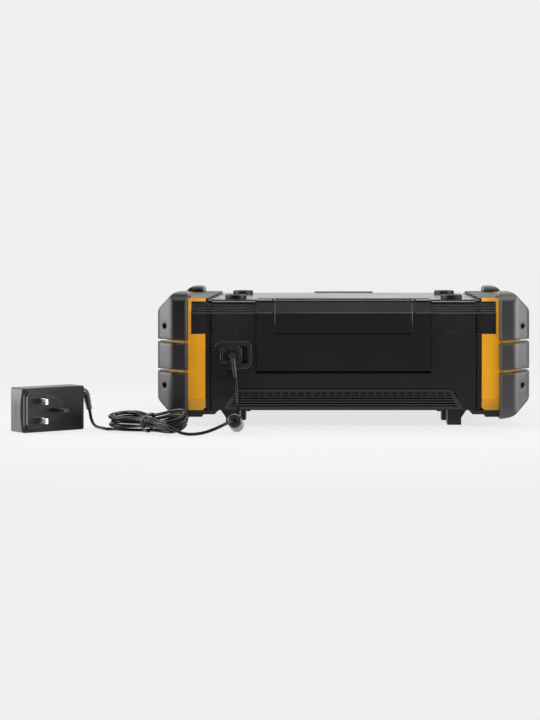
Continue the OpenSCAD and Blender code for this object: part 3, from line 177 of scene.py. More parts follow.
def make_edge_group():
    """Mask of worn outer edges, broken up by noise."""
    g, given, out = new_group(
        "Worn edges", {"Width": 0.0012, "Amount": 0.5, "Scale": 120.0}, "Mask")
    edge = g.add("Bevel", {"samples": EDGE_SAMPLES}, Radius=given["Width"])
    dot = g.add("VectorMath", {"operation": "DOT_PRODUCT"})
    g.put(dot.inputs[0], edge)
    g.put(dot.inputs[1], g.add("NewGeometry").outputs["Normal"])
    bend = g.span(dot.outputs["Value"], 0.995, 0.86)
    patches = g.span(g.noise(g.place(), given["Scale"], 5.0, Roughness=0.7), 0.46, 0.62)
    g.put(out["Mask"], g.math("MULTIPLY", g.math("MULTIPLY", bend, patches), given["Amount"]))


def make_dust_group():
    """Mask of fine dust that lies on faces that look up."""
    g, given, out = new_group("Settled dust", {"Amount": 0.3, "Scale": 35.0}, "Mask")
    place = g.place()
    cloud = g.noise(place, given["Scale"], 6.0, Roughness=0.75)
    speck = g.noise(place, 1800.0, 1.0)
    mask = g.math("MULTIPLY", g.span(cloud, 0.35, 0.75), g.span(speck, 0.4, 0.7, 0.5, 1.0))
    mask = g.math("MULTIPLY", mask, g.span(g.facing(2), 0.3, 1.0))
    g.put(out["Mask"], g.math("MULTIPLY", mask, given["Amount"]))


def make_scuff_group():
    """Mask of thin scuffs, stretched along X."""
    g, given, out = new_group("Scuffs", {"Amount": 0.3, "Scale": 60.0, "Seed": 0.0}, "Mask")
    place = g.place()
    turn = g.add("Mapping", Vector=place, Rotation=(0.3, 0.25, 0.5), Scale=(0.12, 1.0, 1.0))
    lines = g.noise(turn, g.math("MULTIPLY", given["Scale"], 8.0), 2.0, given["Seed"])
    where = g.noise(place, given["Scale"], 2.0, given["Seed"])
    mask = g.math("MULTIPLY", g.span(lines, 0.63, 0.7), g.span(where, 0.5, 0.65))
    g.put(out["Mask"], g.math("MULTIPLY", mask, given["Amount"]))


def make_cloud_group():
    """Slow change of tone and roughness over a surface."""
    g, given, out = new_group("Tone", {"Scale": 14.0, "Seed": 0.0}, "Value")
    g.put(out["Value"], g.noise(g.place(), given["Scale"], 4.0, given["Seed"]))


def make_line_group():
    """Fine upright and level lines of a pressed mesh, as heights."""
    g, given, out = new_group("Mesh lines", {"Pitch": 0.0016, "Depth": 0.0004}, "Normal", "Mask")
    place = g.place()

    def lines(axis, factor):
        step = g.math("MULTIPLY", given["Pitch"], factor)
        wave = g.math("PINGPONG", g.math("DIVIDE", g.axis(place, axis), step), 0.5)
        return g.span(wave, 0.12, 0.3)

    mask = g.math("MULTIPLY", lines(2, 1.0), lines(0, 1.5))
    g.put(out["Normal"], g.add("Bump", Strength=1.0, Distance=given["Depth"], Height=mask))
    g.put(out["Mask"], mask)


def use_group(g, name, **inputs):
    node = g.tree.nodes.new("ShaderNodeGroup")
    node.node_tree = bpy.data.node_groups[name]
    for key, value in inputs.items():
        g.put(node.inputs[key], value)
    return node


def new_material(name):
    material = bpy.data.materials.new(name)
    material.use_nodes = True
    return material, Graph(material.node_tree)


def grey(level):
    return (level, level, level, 1.0)


def shade(colour, factor):
    return [min(1.0, c * factor) for c in colour[:3]] + [1.0]


def plastic(name, colour, rough, grain=2600.0, depth=0.00005, edge=0.3, dust=0.2, scuff=0.25,
            pale=2.2, seed=0.0, specular=0.3, rounding=0.0008, top_gloss=0.0):
    """Moulded plastic or rubber: grain, tone, worn edges, scuffs and dust.

    top_gloss is how much smoother the faces that look up are, from handling."""
    material, g = new_material(name)
    tone = use_group(g, "Tone", Seed=seed)
    worn = use_group(g, "Worn edges", Amount=edge)
    dusty = use_group(g, "Settled dust", Amount=dust)
    marks = use_group(g, "Scuffs", Amount=scuff, Seed=seed)
    base = g.blend(tone, shade(colour, 0.88), shade(colour, 1.12))
    base = g.blend(worn, base, shade(colour, pale))
    base = g.blend(marks, base, shade(colour, pale * 1.15))
    roughness = g.span(tone, 0.3, 0.7, rough - 0.05, rough + 0.05)
    roughness = g.math("ADD", roughness, g.math("MULTIPLY", dusty, 0.3))
    if top_gloss:
        roughness = g.math("SUBTRACT", roughness, g.span(g.facing(2), 0.9, 0.99, 0.0, top_gloss))
    g.surface(
        Base_Color=g.blend(dusty, base, DUST),
        Roughness=g.math("SUBTRACT", roughness, g.math("MULTIPLY", worn, 0.15)),
        Normal=use_group(g, "Moulded grain", Scale=grain, Depth=depth, Rounding=rounding),
        Specular_IOR_Level=specular)
    return material


def painted_lit_end(material, lit_end_colour, lit_side_colour, low, high):
    """Painted light: a lighter tone on faces that look along +X, and from x low to high on the
    others, as if that end were lit.
    """
    g = Graph(material.node_tree)
    shader = material.node_tree.nodes["Principled BSDF"]
    base = shader.inputs["Base Color"].links[0].from_socket
    base = g.blend(g.span(g.axis(g.place(), 0), low, high), base, lit_side_colour)
    g.surface(Base_Color=g.blend(g.span(g.facing(0), 0.5, 0.8), base, lit_end_colour))


def metal(name, colour, rough, seed=0.0):
    """Drawn, turned or plated metal with fine marks and dulled patches."""
    material, g = new_material(name)
    lines = g.noise(g.place(), 220.0, 3.0)
    tone = use_group(g, "Tone", Scale=60.0, Seed=seed)
    worn = use_group(g, "Worn edges", Amount=0.6, Width=0.0004)
    base = g.blend(tone, shade(colour, 0.82), shade(colour, 1.08))
    g.surface(
        Base_Color=g.blend(worn, base, shade(colour, 1.3)),
        Roughness=g.span(lines, 0.3, 0.7, rough - 0.08, rough + 0.1),
        Normal=g.add("Bump", Strength=0.3, Distance=0.00004, Height=lines),
        Metallic=1.0)
    return material


def mesh_panel(name, colour, rough, pitch):
    """Dark panel with the fine lines of a pressed mesh."""
    material, g = new_material(name)
    lines = use_group(g, "Mesh lines", Pitch=pitch)
    tone = use_group(g, "Tone", Seed=3.0)
    dusty = use_group(g, "Settled dust", Amount=0.15)
    base = g.blend(lines.outputs["Mask"], shade(colour, 1.1), shade(colour, 0.6))
    base = g.blend(g.math("MULTIPLY", tone, 0.4), base, shade(colour, 0.8))
    g.surface(Base_Color=g.blend(dusty, base, (0.3, 0.29, 0.27, 1.0)),
              Normal=lines.outputs["Normal"], Roughness=rough, Specular_IOR_Level=0.3)
    return material


def board_material(name):
    """Green coated circuit board with tracks and pads."""
    material, g = new_material(name)
    place = g.place()
    tracks = g.add("TexBrick", Vector=place, Scale=180.0, Color1=(0.010, 0.075, 0.032, 1.0),
                   Color2=(0.014, 0.105, 0.045, 1.0), Mortar=(0.030, 0.16, 0.07, 1.0))
    pads = g.add("TexVoronoi", Vector=place, Scale=420.0)
    dots = g.span(pads.outputs["Distance"], 0.2, 0.14)
    g.surface(
        Base_Color=g.blend(dots, tracks, (0.55, 0.53, 0.48, 1.0)), Metallic=dots,
        Normal=g.add("Bump", Strength=0.5, Distance=0.0001, Height=tracks.outputs["Fac"]),
        Roughness=0.3)
    return material


def window_material(name):
    """Dark tinted window, faintly smeared."""
    material, g = new_material(name)
    tone = use_group(g, "Tone", Scale=45.0, Seed=5.0)
    marks = use_group(g, "Scuffs", Amount=0.5, Scale=90.0)
    rough = g.span(tone, 0.35, 0.7, 0.04, 0.16)
    g.surface(
        Base_Color=g.blend(tone, (0.004, 0.007, 0.009, 1.0), (0.010, 0.014, 0.017, 1.0)),
        Roughness=g.math("ADD", rough, g.math("MULTIPLY", marks, 0.3)), Coat_Weight=0.6)
    return material


# ---------- Meshes ----------


def mesh_object(name, vertices, faces, material, smooth=False):
    mesh = bpy.data.meshes.new(name)
    mesh.from_pydata([tuple(v) for v in vertices], [], faces)
    mesh.update()
    for polygon in mesh.polygons:
        polygon.use_smooth = smooth
    mesh.materials.append(material)
    item = bpy.data.objects.new(name, mesh)
    bpy.context.scene.collection.objects.link(item)
    return item


def paint(material, *names):
    """Gives CAD nodes their material."""
    for name in names:
        data = NODES[name].data
        data.materials.clear()
        data.materials.append(material)


def make_smooth_group():
    """Modifier that shades a mesh smooth, apart from its sharp edges."""
    tree = bpy.data.node_groups.new("Smooth by angle", "GeometryNodeTree")
    for way in ("INPUT", "OUTPUT"):
        tree.interface.new_socket("Geometry", in_out=way, socket_type="NodeSocketGeometry")
    given, out, drop, faces, edges, angle, sharp, flat = [tree.nodes.new(kind) for kind in (
        "NodeGroupInput", "NodeGroupOutput", "GeometryNodeRemoveAttribute",
        "GeometryNodeSetShadeSmooth", "GeometryNodeSetShadeSmooth",
        "GeometryNodeInputMeshEdgeAngle", "FunctionNodeCompare", "FunctionNodeBooleanMath")]
    drop.inputs["Name"].default_value = "custom_normal"
    faces.domain = "FACE"
    edges.domain = "EDGE"
    sharp.operation = "GREATER_THAN"
    sharp.inputs[1].default_value = SHARP_ANGLE
    flat.operation = "NOT"
    for source, target in (
        (given.outputs[0], drop.inputs["Geometry"]),
        (drop.outputs[0], faces.inputs["Geometry"]),
        (faces.outputs[0], edges.inputs["Geometry"]),
        (angle.outputs["Unsigned Angle"], sharp.inputs[0]),
        (sharp.outputs[0], flat.inputs[0]),
        (flat.outputs[0], edges.inputs["Shade Smooth"]),
        (edges.outputs[0], out.inputs[0]),
    ):
        tree.links.new(source, target)


def soften(width, segments, *names):
    """Rounds the outer edges of CAD nodes and smooths their curved faces."""
    for name in names:
        item = NODES[name]
        flat = item.modifiers.new("flat faces", "DECIMATE")
        flat.decimate_type = "DISSOLVE"
        flat.angle_limit = math.radians(1.0)
        edge = item.modifiers.new("rounded edges", "BEVEL")
        edge.width = width
        edge.segments = segments
        edge.limit_method = "ANGLE"
        edge.angle_limit = ROUNDED_ANGLE
        smooth = item.modifiers.new("smooth faces", "NODES")
        smooth.node_group = bpy.data.node_groups["Smooth by angle"]
        weigh = item.modifiers.new("even shading", "WEIGHTED_NORMAL")
        weigh.keep_sharp = True
        weigh.weight = 100


def seat(item, body):
    """Moves a piece with a body."""
    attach(item, body)


def skin(start, count, rings):
    """Faces of a closed tube, whose rings of count vertices begin at start."""
    faces = []
    for i in range(start, start + (rings - 1) * count, count):
        for k in range(count):
            a, b = i + k, i + (k + 1) % count
            faces.append((a, b, b + count, a + count))
    end = start + rings * count
    return faces + [tuple(reversed(range(start, start + count))), tuple(range(end - count, end))]


def swept(name, runs, sides, material):
    """Tubes along paths; a run is a path and its radius at each point."""
    vertices, faces = [], []
    for path, radii in runs:
        start = len(vertices)
        side = Vector((0.3, 0.1, 1.0))
        for i, point in enumerate(path):
            ahead = (path[min(i + 1, len(path) - 1)] - path[max(i - 1, 0)]).normalized()
            side = (side - ahead * side.dot(ahead)).normalized()
            other = ahead.cross(side)
            for k in range(sides):
                a = 2 * math.pi * k / sides
                vertices.append(point + radii[i] * (math.cos(a) * side + math.sin(a) * other))
        faces += skin(start, sides, len(path))
    return mesh_object(name, vertices, faces, material, smooth=True)


def bead(radius, *corners):
    """Run of an edge bead through corners in millimetres, with rounded ends."""
    points = [Vector(c) / MM for c in corners]
    radius /= MM
    out = (points[0] - points[1]).normalized() * radius
    into = (points[-1] - points[-2]).normalized() * radius
    path = [points[0] + out * 0.9, points[0] + out * 0.5, *points,
            points[-1] + into * 0.5, points[-1] + into * 0.9]
    shares = (0.4, 0.85, *[1.0] * len(points), 0.85, 0.4)
    return path, [radius * share for share in shares]


def arc(radius, start, end, steps):
    """Points of an arc round the origin, as pairs; angles in degrees."""
    angles = [math.radians(start + (end - start) * k / steps) for k in range(steps + 1)]
    return [(radius * math.cos(a), radius * math.sin(a)) for a in angles]


def ring(radius, x0, x1, y, z0, z1, corner):
    """Closed run of a bead round a rectangle on the rear face, in millimetres."""
    path = []
    for x, z, turn in ((x1 - corner, z1 - corner, 0), (x0 + corner, z1 - corner, 90),
                       (x0 + corner, z0 + corner, 180), (x1 - corner, z0 + corner, 270)):
        for dx, dz in arc(corner, turn, turn + 90, 8):
            path.append(Vector((x + dx, y, z + dz)) / MM)
    path.append(path[0])
    return path, [radius / MM] * len(path)


LIP_END = 0.55  # size of the profile at both ends of a rim


def lips(name, spans, material):
    """Sloping rims along X; each span is x0, x1 and its profile in millimetres."""
    vertices, faces = [], []
    for x0, x1, profile in spans:
        middle = sum((Vector(p) for p in profile), Vector((0, 0))) / len(profile)
        faces += skin(len(vertices), len(profile), 4)
        for x, share in ((x0, LIP_END), (x0 + 0.5, 1.0), (x1 - 0.5, 1.0), (x1, LIP_END)):
            for p in profile:
                y, z = middle + (Vector(p) - middle) * share
                vertices.append((x / MM, y / MM, z / MM))
    return mesh_object(name, vertices, faces, material)


def resampled(points, step):
    """Points at even steps along a smooth curve through the given points."""
    fine = []
    count = len(points)
    for i in range(count - 1):
        a, b = points[i], points[i + 1]
        before = a - points[i - 1] if i else b - a
        after = points[i + 2] - b if i + 2 < count else b - a
        out = (before + b - a) / 2
        into = (after + b - a) / 2
        for k in range(12):
            f = k / 12
            fine.append(a * (2 * f ** 3 - 3 * f * f + 1) + out * (f ** 3 - 2 * f * f + f)
                        + b * (3 * f * f - 2 * f ** 3) + into * (f ** 3 - f * f))
    fine.append(points[-1])
    even, walked, due = [fine[0]], 0.0, step
    for a, b in zip(fine, fine[1:]):
        length = (b - a).length
        while walked + length >= due:
            even.append(a.lerp(b, (due - walked) / length))
            due += step
        walked += length
    even.append(fine[-1])
    return even


# ---------- Path of the cord, in millimetres ----------

# Runs that lie side by side and on top of each other, bent back at both ends
HANK = SimpleNamespace(
    runs=11, length=76.0, start=(254.0, 206.5), bearing=143.8, inner=10.5, step=4.8, layer=4.6,
    squeeze=8.2, twist=(8.0, 26.0), z=(11.5, 14.9), dip=2.2, share=0.64, turns=(4, 7, 10))
PORT_LEAD = (
    (127.7, 164.5, 58.5), (127, 164.6, 52), (126.2, 165.6, 44), (125.3, 168.4, 36),
    (124.5, 173, 28), (123.8, 179.5, 20.5), (123.3, 187.5, 13.5), (122.9, 197, 7.8),
    (122.6, 206.5, 5.2), (122.5, 216, 5.8), (122.6, 225.5, 8.1), (123.1, 234.5, 10.7),
    (123.6, 243.5, 13.3), (124.2, 252.5, 15.8), (126.2, 260.5, 16.6), (130.8, 267.3, 14.8),
    (137.6, 271.8, 11.6), (145.4, 273.8, 8.2), (152.8, 274, 5.4), (160.2, 273.8, 3.5),
    (167.4, 274.4, 2.6), (174.6, 276, 2.6), (181.8, 277.2, 4), (188.8, 276.8, 6.9),
    (195.6, 274.2, 10.5),
)
ADAPTER_LEAD = (
    (270.3, 211.8, 2.4), (274.9, 206.5, 2), (278.6, 200.2, 2), (282.1, 193.6, 2),
    (285.6, 187.1, 2), (289.2, 180.8, 2.1), (292.6, 175, 3.4), (295.6, 170.4, 6.6),
    (297.8, 167.4, 11.6),
)
RELIEF = (
    (310.704, 175.642, 43.5), (309.128, 174.411, 43.5), (306.413, 172.29, 42.815),
    (304.113, 170.493, 40.864), (302.575, 169.292, 37.944), (302.035, 168.87, 34.5),
    (301.247, 168.254, 30.3), (300.459, 167.639, 26.1), (299.671, 167.023, 21.9),
)
RELIEF_OUT = (-0.1825, -0.1427, -0.9728)
STRAIGHT = 4.0  # straight cord at both ends of the hank and at the relief
RUN_STEPS = 16
FOLD_STEPS = 14


def eased(x):
    c = min(1.0, max(0.0, x))
    return c * c * (3 - 2 * c)


def swell(f):
    """0 at both ends of 0 to 1 and 1 in the middle."""
    return (1 - math.cos(2 * math.pi * f)) / 2


def hank_radius(t):
    """Distance of run t from the hank's middle line: in, out, in and out again."""
    outer = HANK.inner + 1.5 * HANK.step
    half = HANK.step / 2
    first, second, third = HANK.turns
    if t <= first:
        return outer - (t - 1) * half
    if t <= second:
        return HANK.inner + (t - first) * half
    if t <= third:
        return outer - (t - second) * half
    return HANK.inner + (t - third) * half


def hank_place(u, v, t):
    """Point u along and v across the hank on run t, which sinks a layer at each turn."""
    level = 1.5 - sum(eased((t - c + HANK.share / 2) / HANK.share) for c in HANK.turns)
    f = min(1.0, max(0.0, u / HANK.length))
    turn = math.radians(HANK.twist[0] + (HANK.twist[1] - HANK.twist[0]) * f)
    w = level * HANK.layer
    over = v * math.cos(turn) + w * math.sin(turn)
    z = HANK.z[0] + (HANK.z[1] - HANK.z[0]) * f
    z -= HANK.dip * swell(f)
    z += w * math.cos(turn) - v * math.sin(turn)
    a = math.radians(HANK.bearing)
    x = HANK.start[0] + u * math.cos(a) + over * math.sin(a)
    y = HANK.start[1] + u * math.sin(a) - over * math.cos(a)
    return Vector((x, y, z))


def hank_path():
    points = []
    share = HANK.share
    for i in range(1, HANK.runs + 1):
        odd = i % 2 == 1
        side = 1 if odd else -1
        last = i == HANK.runs
        for k in range(RUN_STEPS + last):
            f = k / RUN_STEPS
            t = i - share / 2 + share * f
            u = HANK.length * ((1 - f) if odd else f)
            draw = HANK.squeeze * swell(u / HANK.length)
            points.append(hank_place(u, side * (hank_radius(t) - draw), t))
        if last:
            break
        for k in range(FOLD_STEPS):
            f = k / FOLD_STEPS
            t = i + share / 2 + (1 - share) * f
            r = hank_radius(t)
            reach = r * math.sin(math.pi * f)
            u = -reach if odd else HANK.length + reach
            points.append(hank_place(u, side * r * math.cos(math.pi * f), t))
    return points


def cord_points():
    hank = hank_path()
    enter = (hank[1] - hank[0]).normalized() * STRAIGHT
    leave = (hank[-1] - hank[-2]).normalized() * STRAIGHT
    end = Vector(RELIEF[-1])
    points = [Vector(p) for p in PORT_LEAD] + [hank[0] - enter] + hank + [hank[-1] + leave]
    points += [Vector(p) for p in ADAPTER_LEAD] + [end + Vector(RELIEF_OUT) * STRAIGHT, end]
    return [p / MM for p in points]


# ---------- Settings ----------


class RADIO_PG_settings(bpy.types.PropertyGroup):
    """Values that the pieces share."""

    black: bpy.props.FloatVectorProperty(
        name="Black plastic", description="Colour of the housing's black parts",
        subtype="COLOR", size=3, default=(0.0062, 0.0062, 0.0066))
    yellow: bpy.props.FloatVectorProperty(
        name="Yellow plastic", description="Colour of the two end frames",
        subtype="COLOR", size=3, default=(0.54, 0.232, 0.003))
    grey: bpy.props.FloatVectorProperty(
        name="Bumper rubber", description="Colour of the four corner bumpers",
        subtype="COLOR", size=3, default=(0.018, 0.018, 0.0177))
    black_specular: bpy.props.FloatProperty(
        name="Sheen of the black", description="Specular level of the black plastics",
        default=0.13, min=0.0, max=1.0)
    wear: bpy.props.FloatProperty(
        name="Wear", description="How worn the edges of the black plastics are",
        default=0.3, min=0.0, max=1.0)
    dust: bpy.props.FloatProperty(
        name="Dust", description="How much dust lies on faces that look up",
        default=0.12, min=0.0, max=1.0)


class RADIO_PG_camera(bpy.types.PropertyGroup):
    """The photo's camera."""

    lens: bpy.props.FloatProperty(
        name="Lens", description="Focal length in millimetres",
        default=101.5, min=20.0, max=300.0)
    distance: bpy.props.FloatProperty(
        name="Distance", description="From the camera to the radio's rear face",
        default=2.4, min=0.5, max=10.0, unit="LENGTH")
    height: bpy.props.FloatProperty(
        name="Height", description="Height of the camera over the floor",
        default=0.2274, min=0.0, max=2.0, unit="LENGTH")
    shift_x: bpy.props.FloatProperty(
        name="Shift X", description="Sideways shift of the lens, in frame widths",
        default=-0.1022, min=-1.0, max=1.0)
    shift_y: bpy.props.FloatProperty(
        name="Shift Y", description="Upright shift of the lens, in frame widths",
        default=-0.1744, min=-1.0, max=1.0)


class RADIO_PG_stage(bpy.types.PropertyGroup):
    """Floor, light and background."""

    ground: bpy.props.FloatProperty(
        name="Ground tone", description="Tone of the floor and the backdrop",
        default=0.868, min=0.0, max=1.0)
    shadow: bpy.props.FloatProperty(
        name="Shadow", description="How much of the object's shadow the floor shows",
        default=0.14, min=0.0, max=1.0)
    bounce: bpy.props.FloatProperty(
        name="Floor bounce", description="How strongly the floor lights the underside",
        default=1.35, min=0.0, max=5.0)
    sides: bpy.props.FloatProperty(
        name="Side boxes", description="Power of the boxes at both ends of the radio",
        default=32.0, min=0.0, max=500.0, unit="POWER")
    front: bpy.props.FloatProperty(
        name="Front box", description="Power of the box over the camera",
        default=25.0, min=0.0, max=500.0, unit="POWER")
    top: bpy.props.FloatProperty(
        name="Top box", description="Power of the box over and behind the radio",
        default=22.0, min=0.0, max=500.0, unit="POWER")
    room_front: bpy.props.FloatProperty(
        name="Room in front", description="Tone of the room on the camera's side",
        default=0.1, min=0.0, max=2.0)
    room_back: bpy.props.FloatProperty(
        name="Room behind", description="Tone of the room behind the radio",
        default=0.9, min=0.0, max=2.0)


# ---------- Pieces ----------


def black_plastic(name, colour, rough, seed, **more):
    """Housing plastic with the wear, dust and sheen of the settings."""
    given = bpy.context.scene.radio_settings
    return plastic(name + " plastic", colour, rough, edge=given.wear, dust=given.dust,
                   seed=seed, specular=given.black_specular, **more)


class RADIO_OT_effects(bpy.types.Operator):
    """Makes the shared surface effects"""

    bl_idname = "radio.effects"
    bl_label = "Surface effects"

    def execute(self, context):
        for make in (make_grain_group, make_edge_group, make_dust_group, make_scuff_group,
                     make_cloud_group, make_line_group, make_smooth_group):
            make()
        return {"FINISHED"}


class RADIO_OT_camera(bpy.types.Operator):
    """Sets up the photo's camera"""

    bl_idname = "radio.camera"
    bl_label = "Camera"

    def execute(self, context):
        given = context.scene.radio_camera
        data = bpy.data.cameras.new("photo_camera")
        data.lens = given.lens
        data.shift_x = given.shift_x
        data.shift_y = given.shift_y
        camera = bpy.data.objects.new("photo_camera", data)
        camera.location = (0.0, REAR_Y + given.distance, given.height)
        camera.rotation_euler = (math.radians(90), 0.0, math.radians(180))
        context.scene.collection.objects.link(camera)
        context.scene.camera = camera
        return {"FINISHED"}


class RADIO_OT_cord(bpy.types.Operator):
    """Lays the cord from the plug through the ferrite and the hank to the adapter"""

    bl_idname = "radio.cord"
    bl_label = "Cord"

    def execute(self, context):
        points = cord_points()
        data = bpy.data.curves.new("supply_cord", "CURVE")
        data.dimensions = "3D"
        data.bevel_depth = CORD_R * CORD_SEEN
        data.bevel_resolution = 5
        data.use_fill_caps = True
        spline = data.splines.new("POLY")
        spline.points.add(len(points) - 1)
        for point, place in zip(spline.points, points):
            point.co = (*place, 1.0)
        spline.use_smooth = True
        vinyl = plastic("cord vinyl", (0.0022, 0.0022, 0.0025), 0.17, grain=900.0, depth=0.00001,
                        edge=0.0, dust=0.03, scuff=0.1, seed=11.0, specular=0.2)
        data.materials.append(vinyl)
        item = bpy.data.objects.new("supply_cord", data)
        context.scene.collection.objects.link(item)
        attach(item, "radio_body")
        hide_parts("cord_port_lead", "cord_hank", "cord_adapter_lead")
        moulding = plastic("plug moulding", (0.006, 0.006, 0.0065), 0.34, grain=1500.0,
                           depth=0.00002, edge=0.15, seed=12.0, specular=0.5)
        self.ribbed_relief(moulding)
        paint(vinyl, "cord_port_lead", "cord_hank", "cord_adapter_lead")
        paint(moulding, "dc_plug", "adapter_relief")
        paint(plastic("ferrite jacket", (0.016, 0.016, 0.018), 0.28, grain=1200.0,
                      depth=0.00002, edge=0.3, seed=13.0), "ferrite_core")
        paint(plastic("tie", (0.006, 0.006, 0.0065), 0.3, seed=14.0), "cord_tie")
        return {"FINISHED"}

    def ribbed_relief(self, moulding):
        """Bend relief of the adapter, a solid root and ribs down to the cord."""
        step, pitch, groove, root = 0.0003, 0.0024, 0.0012, 0.0105
        path = resampled([Vector(p) / MM for p in RELIEF], step)
        radii = []
        for i in range(len(path)):
            along = i * step
            share = i / (len(path) - 1)
            radius = 0.0046 - 0.0010 * share
            if along > root and (along % pitch) / pitch > 0.62 and share < 0.985:
                radius -= groove
            radii.append(radius)
        radii[0] = radii[1] = 0.0042
        item = swept("ribbed_relief", [(path, radii)], 20, moulding)
        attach(item, "radio_body")
        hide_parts("adapter_relief")


class RADIO_OT_adapter(bpy.types.Operator):
    """Dresses the mains adapter"""

    bl_idname = "radio.adapter"
    bl_label = "Adapter"

    def execute(self, context):
        case = plastic("adapter case", (0.006, 0.006, 0.0064), 0.24, grain=2200.0,
                       depth=0.00002, edge=0.25, dust=0.03, seed=21.0, specular=0.15,
                       rounding=0.0015)
        # Painted light: the case's end face and the sides near that end are drawn lighter,
        # standing in for light falling on that end
        painted_lit_end(case, lit_end_colour=(0.085, 0.085, 0.086, 1.0),
                 lit_side_colour=(0.026, 0.026, 0.027, 1.0), low=0.325, high=0.38)
        paint(case, "adapter_case")
        soften(0.0022, 3, "adapter_case")
        NODES["adapter_case"].modifiers["rounded edges"].use_clamp_overlap = False
        paint(metal("plated pins", (0.72, 0.71, 0.68), 0.22, seed=22.0), "adapter_pins")
        paint(plastic("earth pin", (0.015, 0.015, 0.016), 0.35, grain=1800.0, depth=0.00002,
                      seed=23.0), "adapter_earth_pin")
        return {"FINISHED"}


class RADIO_OT_shell(bpy.types.Operator):
    """Dresses the housing, its bands, rails and feet"""

    bl_idname = "radio.shell"
    bl_label = "Housing"

    def execute(self, context):
        given = context.scene.radio_settings
        black = given.black
        panel = (black[0] * 1.35, black[1] * 1.35, black[2] * 1.5)
        for name, seed, rough, top_gloss in (
            ("lower_housing", 31.0, 0.42, 0.1), ("upper_housing", 32.0, 0.40, 0.24),
            ("front_fascia", 33.0, 0.42, 0.1), ("end_bands", 34.0, 0.42, 0.06),
        ):
            paint(black_plastic(name, panel, rough, seed, top_gloss=top_gloss, depth=0.00003),
                  name)
        for name, seed in (("base_rails", 35.0), ("feet", 36.0)):
            paint(plastic(name + " plastic", shade(black, 1.2), 0.5, edge=0.8, scuff=0.5,
                          dust=given.dust, seed=seed), name)
        paint(plastic("stud rubber", shade(black, 0.75), 0.38, grain=1400.0, edge=0.3,
                      seed=37.0), "top_studs")
        paint(metal("black screws", (0.10, 0.10, 0.105), 0.4, seed=38.0), "case_screws")
        return {"FINISHED"}


class RADIO_OT_ends(bpy.types.Operator):
    """Dresses the end frames, bumpers and side latches"""

    bl_idname = "radio.ends"
    bl_label = "Ends"

    def execute(self, context):
        given = context.scene.radio_settings
        yellow = plastic("yellow plastic", given.yellow, 0.42, grain=2300.0,
                         depth=0.00006, edge=0.25, dust=0.08, scuff=0.2, pale=1.15, seed=41.0,
                         top_gloss=0.25)
        paint(yellow, "end_frame_left", "end_frame_right")
        # Painted light: the two bumper pairs are lit and shaded copies of one rubber; the right
        # pair is painted far darker (0.15) and less glossy as painted shade, the left pair a
        # little lighter (1.1)
        for side, factor, specular, seed in (("left", 1.1, 0.62, 42.0),
                                             ("right", 0.15, 0.45, 45.0)):
            rubber = plastic("bumper rubber painted light " + side, shade(given.grey, factor), 0.32,
                             grain=1700.0, depth=0.00006, edge=0.3, dust=0.06, scuff=0.3,
                             pale=1.6, seed=seed, specular=specular, rounding=0.0045)
            names = ("bumper_front_" + side, "bumper_rear_" + side)
            paint(rubber, *names)
            soften(0.002, 3, *names)
        soften(0.001, 2, "end_frame_left", "end_frame_right")
        paint(plastic("latch plastic", given.black, 0.44, edge=0.6, seed=43.0),
              "side_latch_left", "side_latch_right")
        paint(metal("latch pins", (0.6, 0.6, 0.61), 0.3, seed=44.0), "side_latch_pins")
        return {"FINISHED"}


class RADIO_OT_rear(bpy.types.Operator):
    """Dresses the battery door, bay, grilles and vent"""

    bl_idname = "radio.rear"
    bl_label = "Rear"

    def execute(self, context):
        given = context.scene.radio_settings
        black = given.black
        for name, seed, rough in (("battery_door", 51.0, 0.42), ("door_latch", 52.0, 0.40),
                                  ("battery_bay", 53.0, 0.5)):
            paint(black_plastic(name, black, rough, seed), name)
        # Painted reflection: the vent bars are drawn 1.8 times lighter than the housing black,
        # standing in for the floor's reflection on them
        paint(plastic("vent bars painted reflection", shade(black, 1.8), 0.36, edge=given.wear, dust=given.dust,
                      seed=54.0, specular=0.3), "vent_grille")
        paint(mesh_panel("corner mesh", (0.005, 0.005, 0.0055), 0.42, 0.0013),
              "rear_grille_left", "rear_grille_right")
        paint(plastic("terminal shoe", shade(black, 0.9), 0.3, seed=55.0), "battery_terminals")
        paint(plastic("seal rubber", (0.009, 0.009, 0.009), 0.7, grain=1100.0, depth=0.0001,
                      seed=56.0), "door_seal")
        paint(metal("hinge pins", (0.6, 0.6, 0.61), 0.28, seed=57.0), "door_hinge_pins")
        paint(plastic("speaker cups", (0.06, 0.06, 0.063), 0.5, seed=58.0), "rear_speakers")
        return {"FINISHED"}


# Latch flap in millimetres: half its width, then y and z of its bend and of its lower edge
FLAP_X = 80.6
FLAP_BEND = (162.95, 134.7)
FLAP_FOOT = (161.9, 111.9)

# Profiles of the sloping rims over the door and over the corner grilles, y and z
DOOR_LIP = ((154.2, 150.9), (155.2, 150.6), (157.8, 149.6), (157.5, 148.8), (154.6, 149.6))
CORNER_LIP = ((151.2, 149.1), (152.2, 148.8), (154.8, 147.8), (154.5, 147.0), (151.8, 147.6))


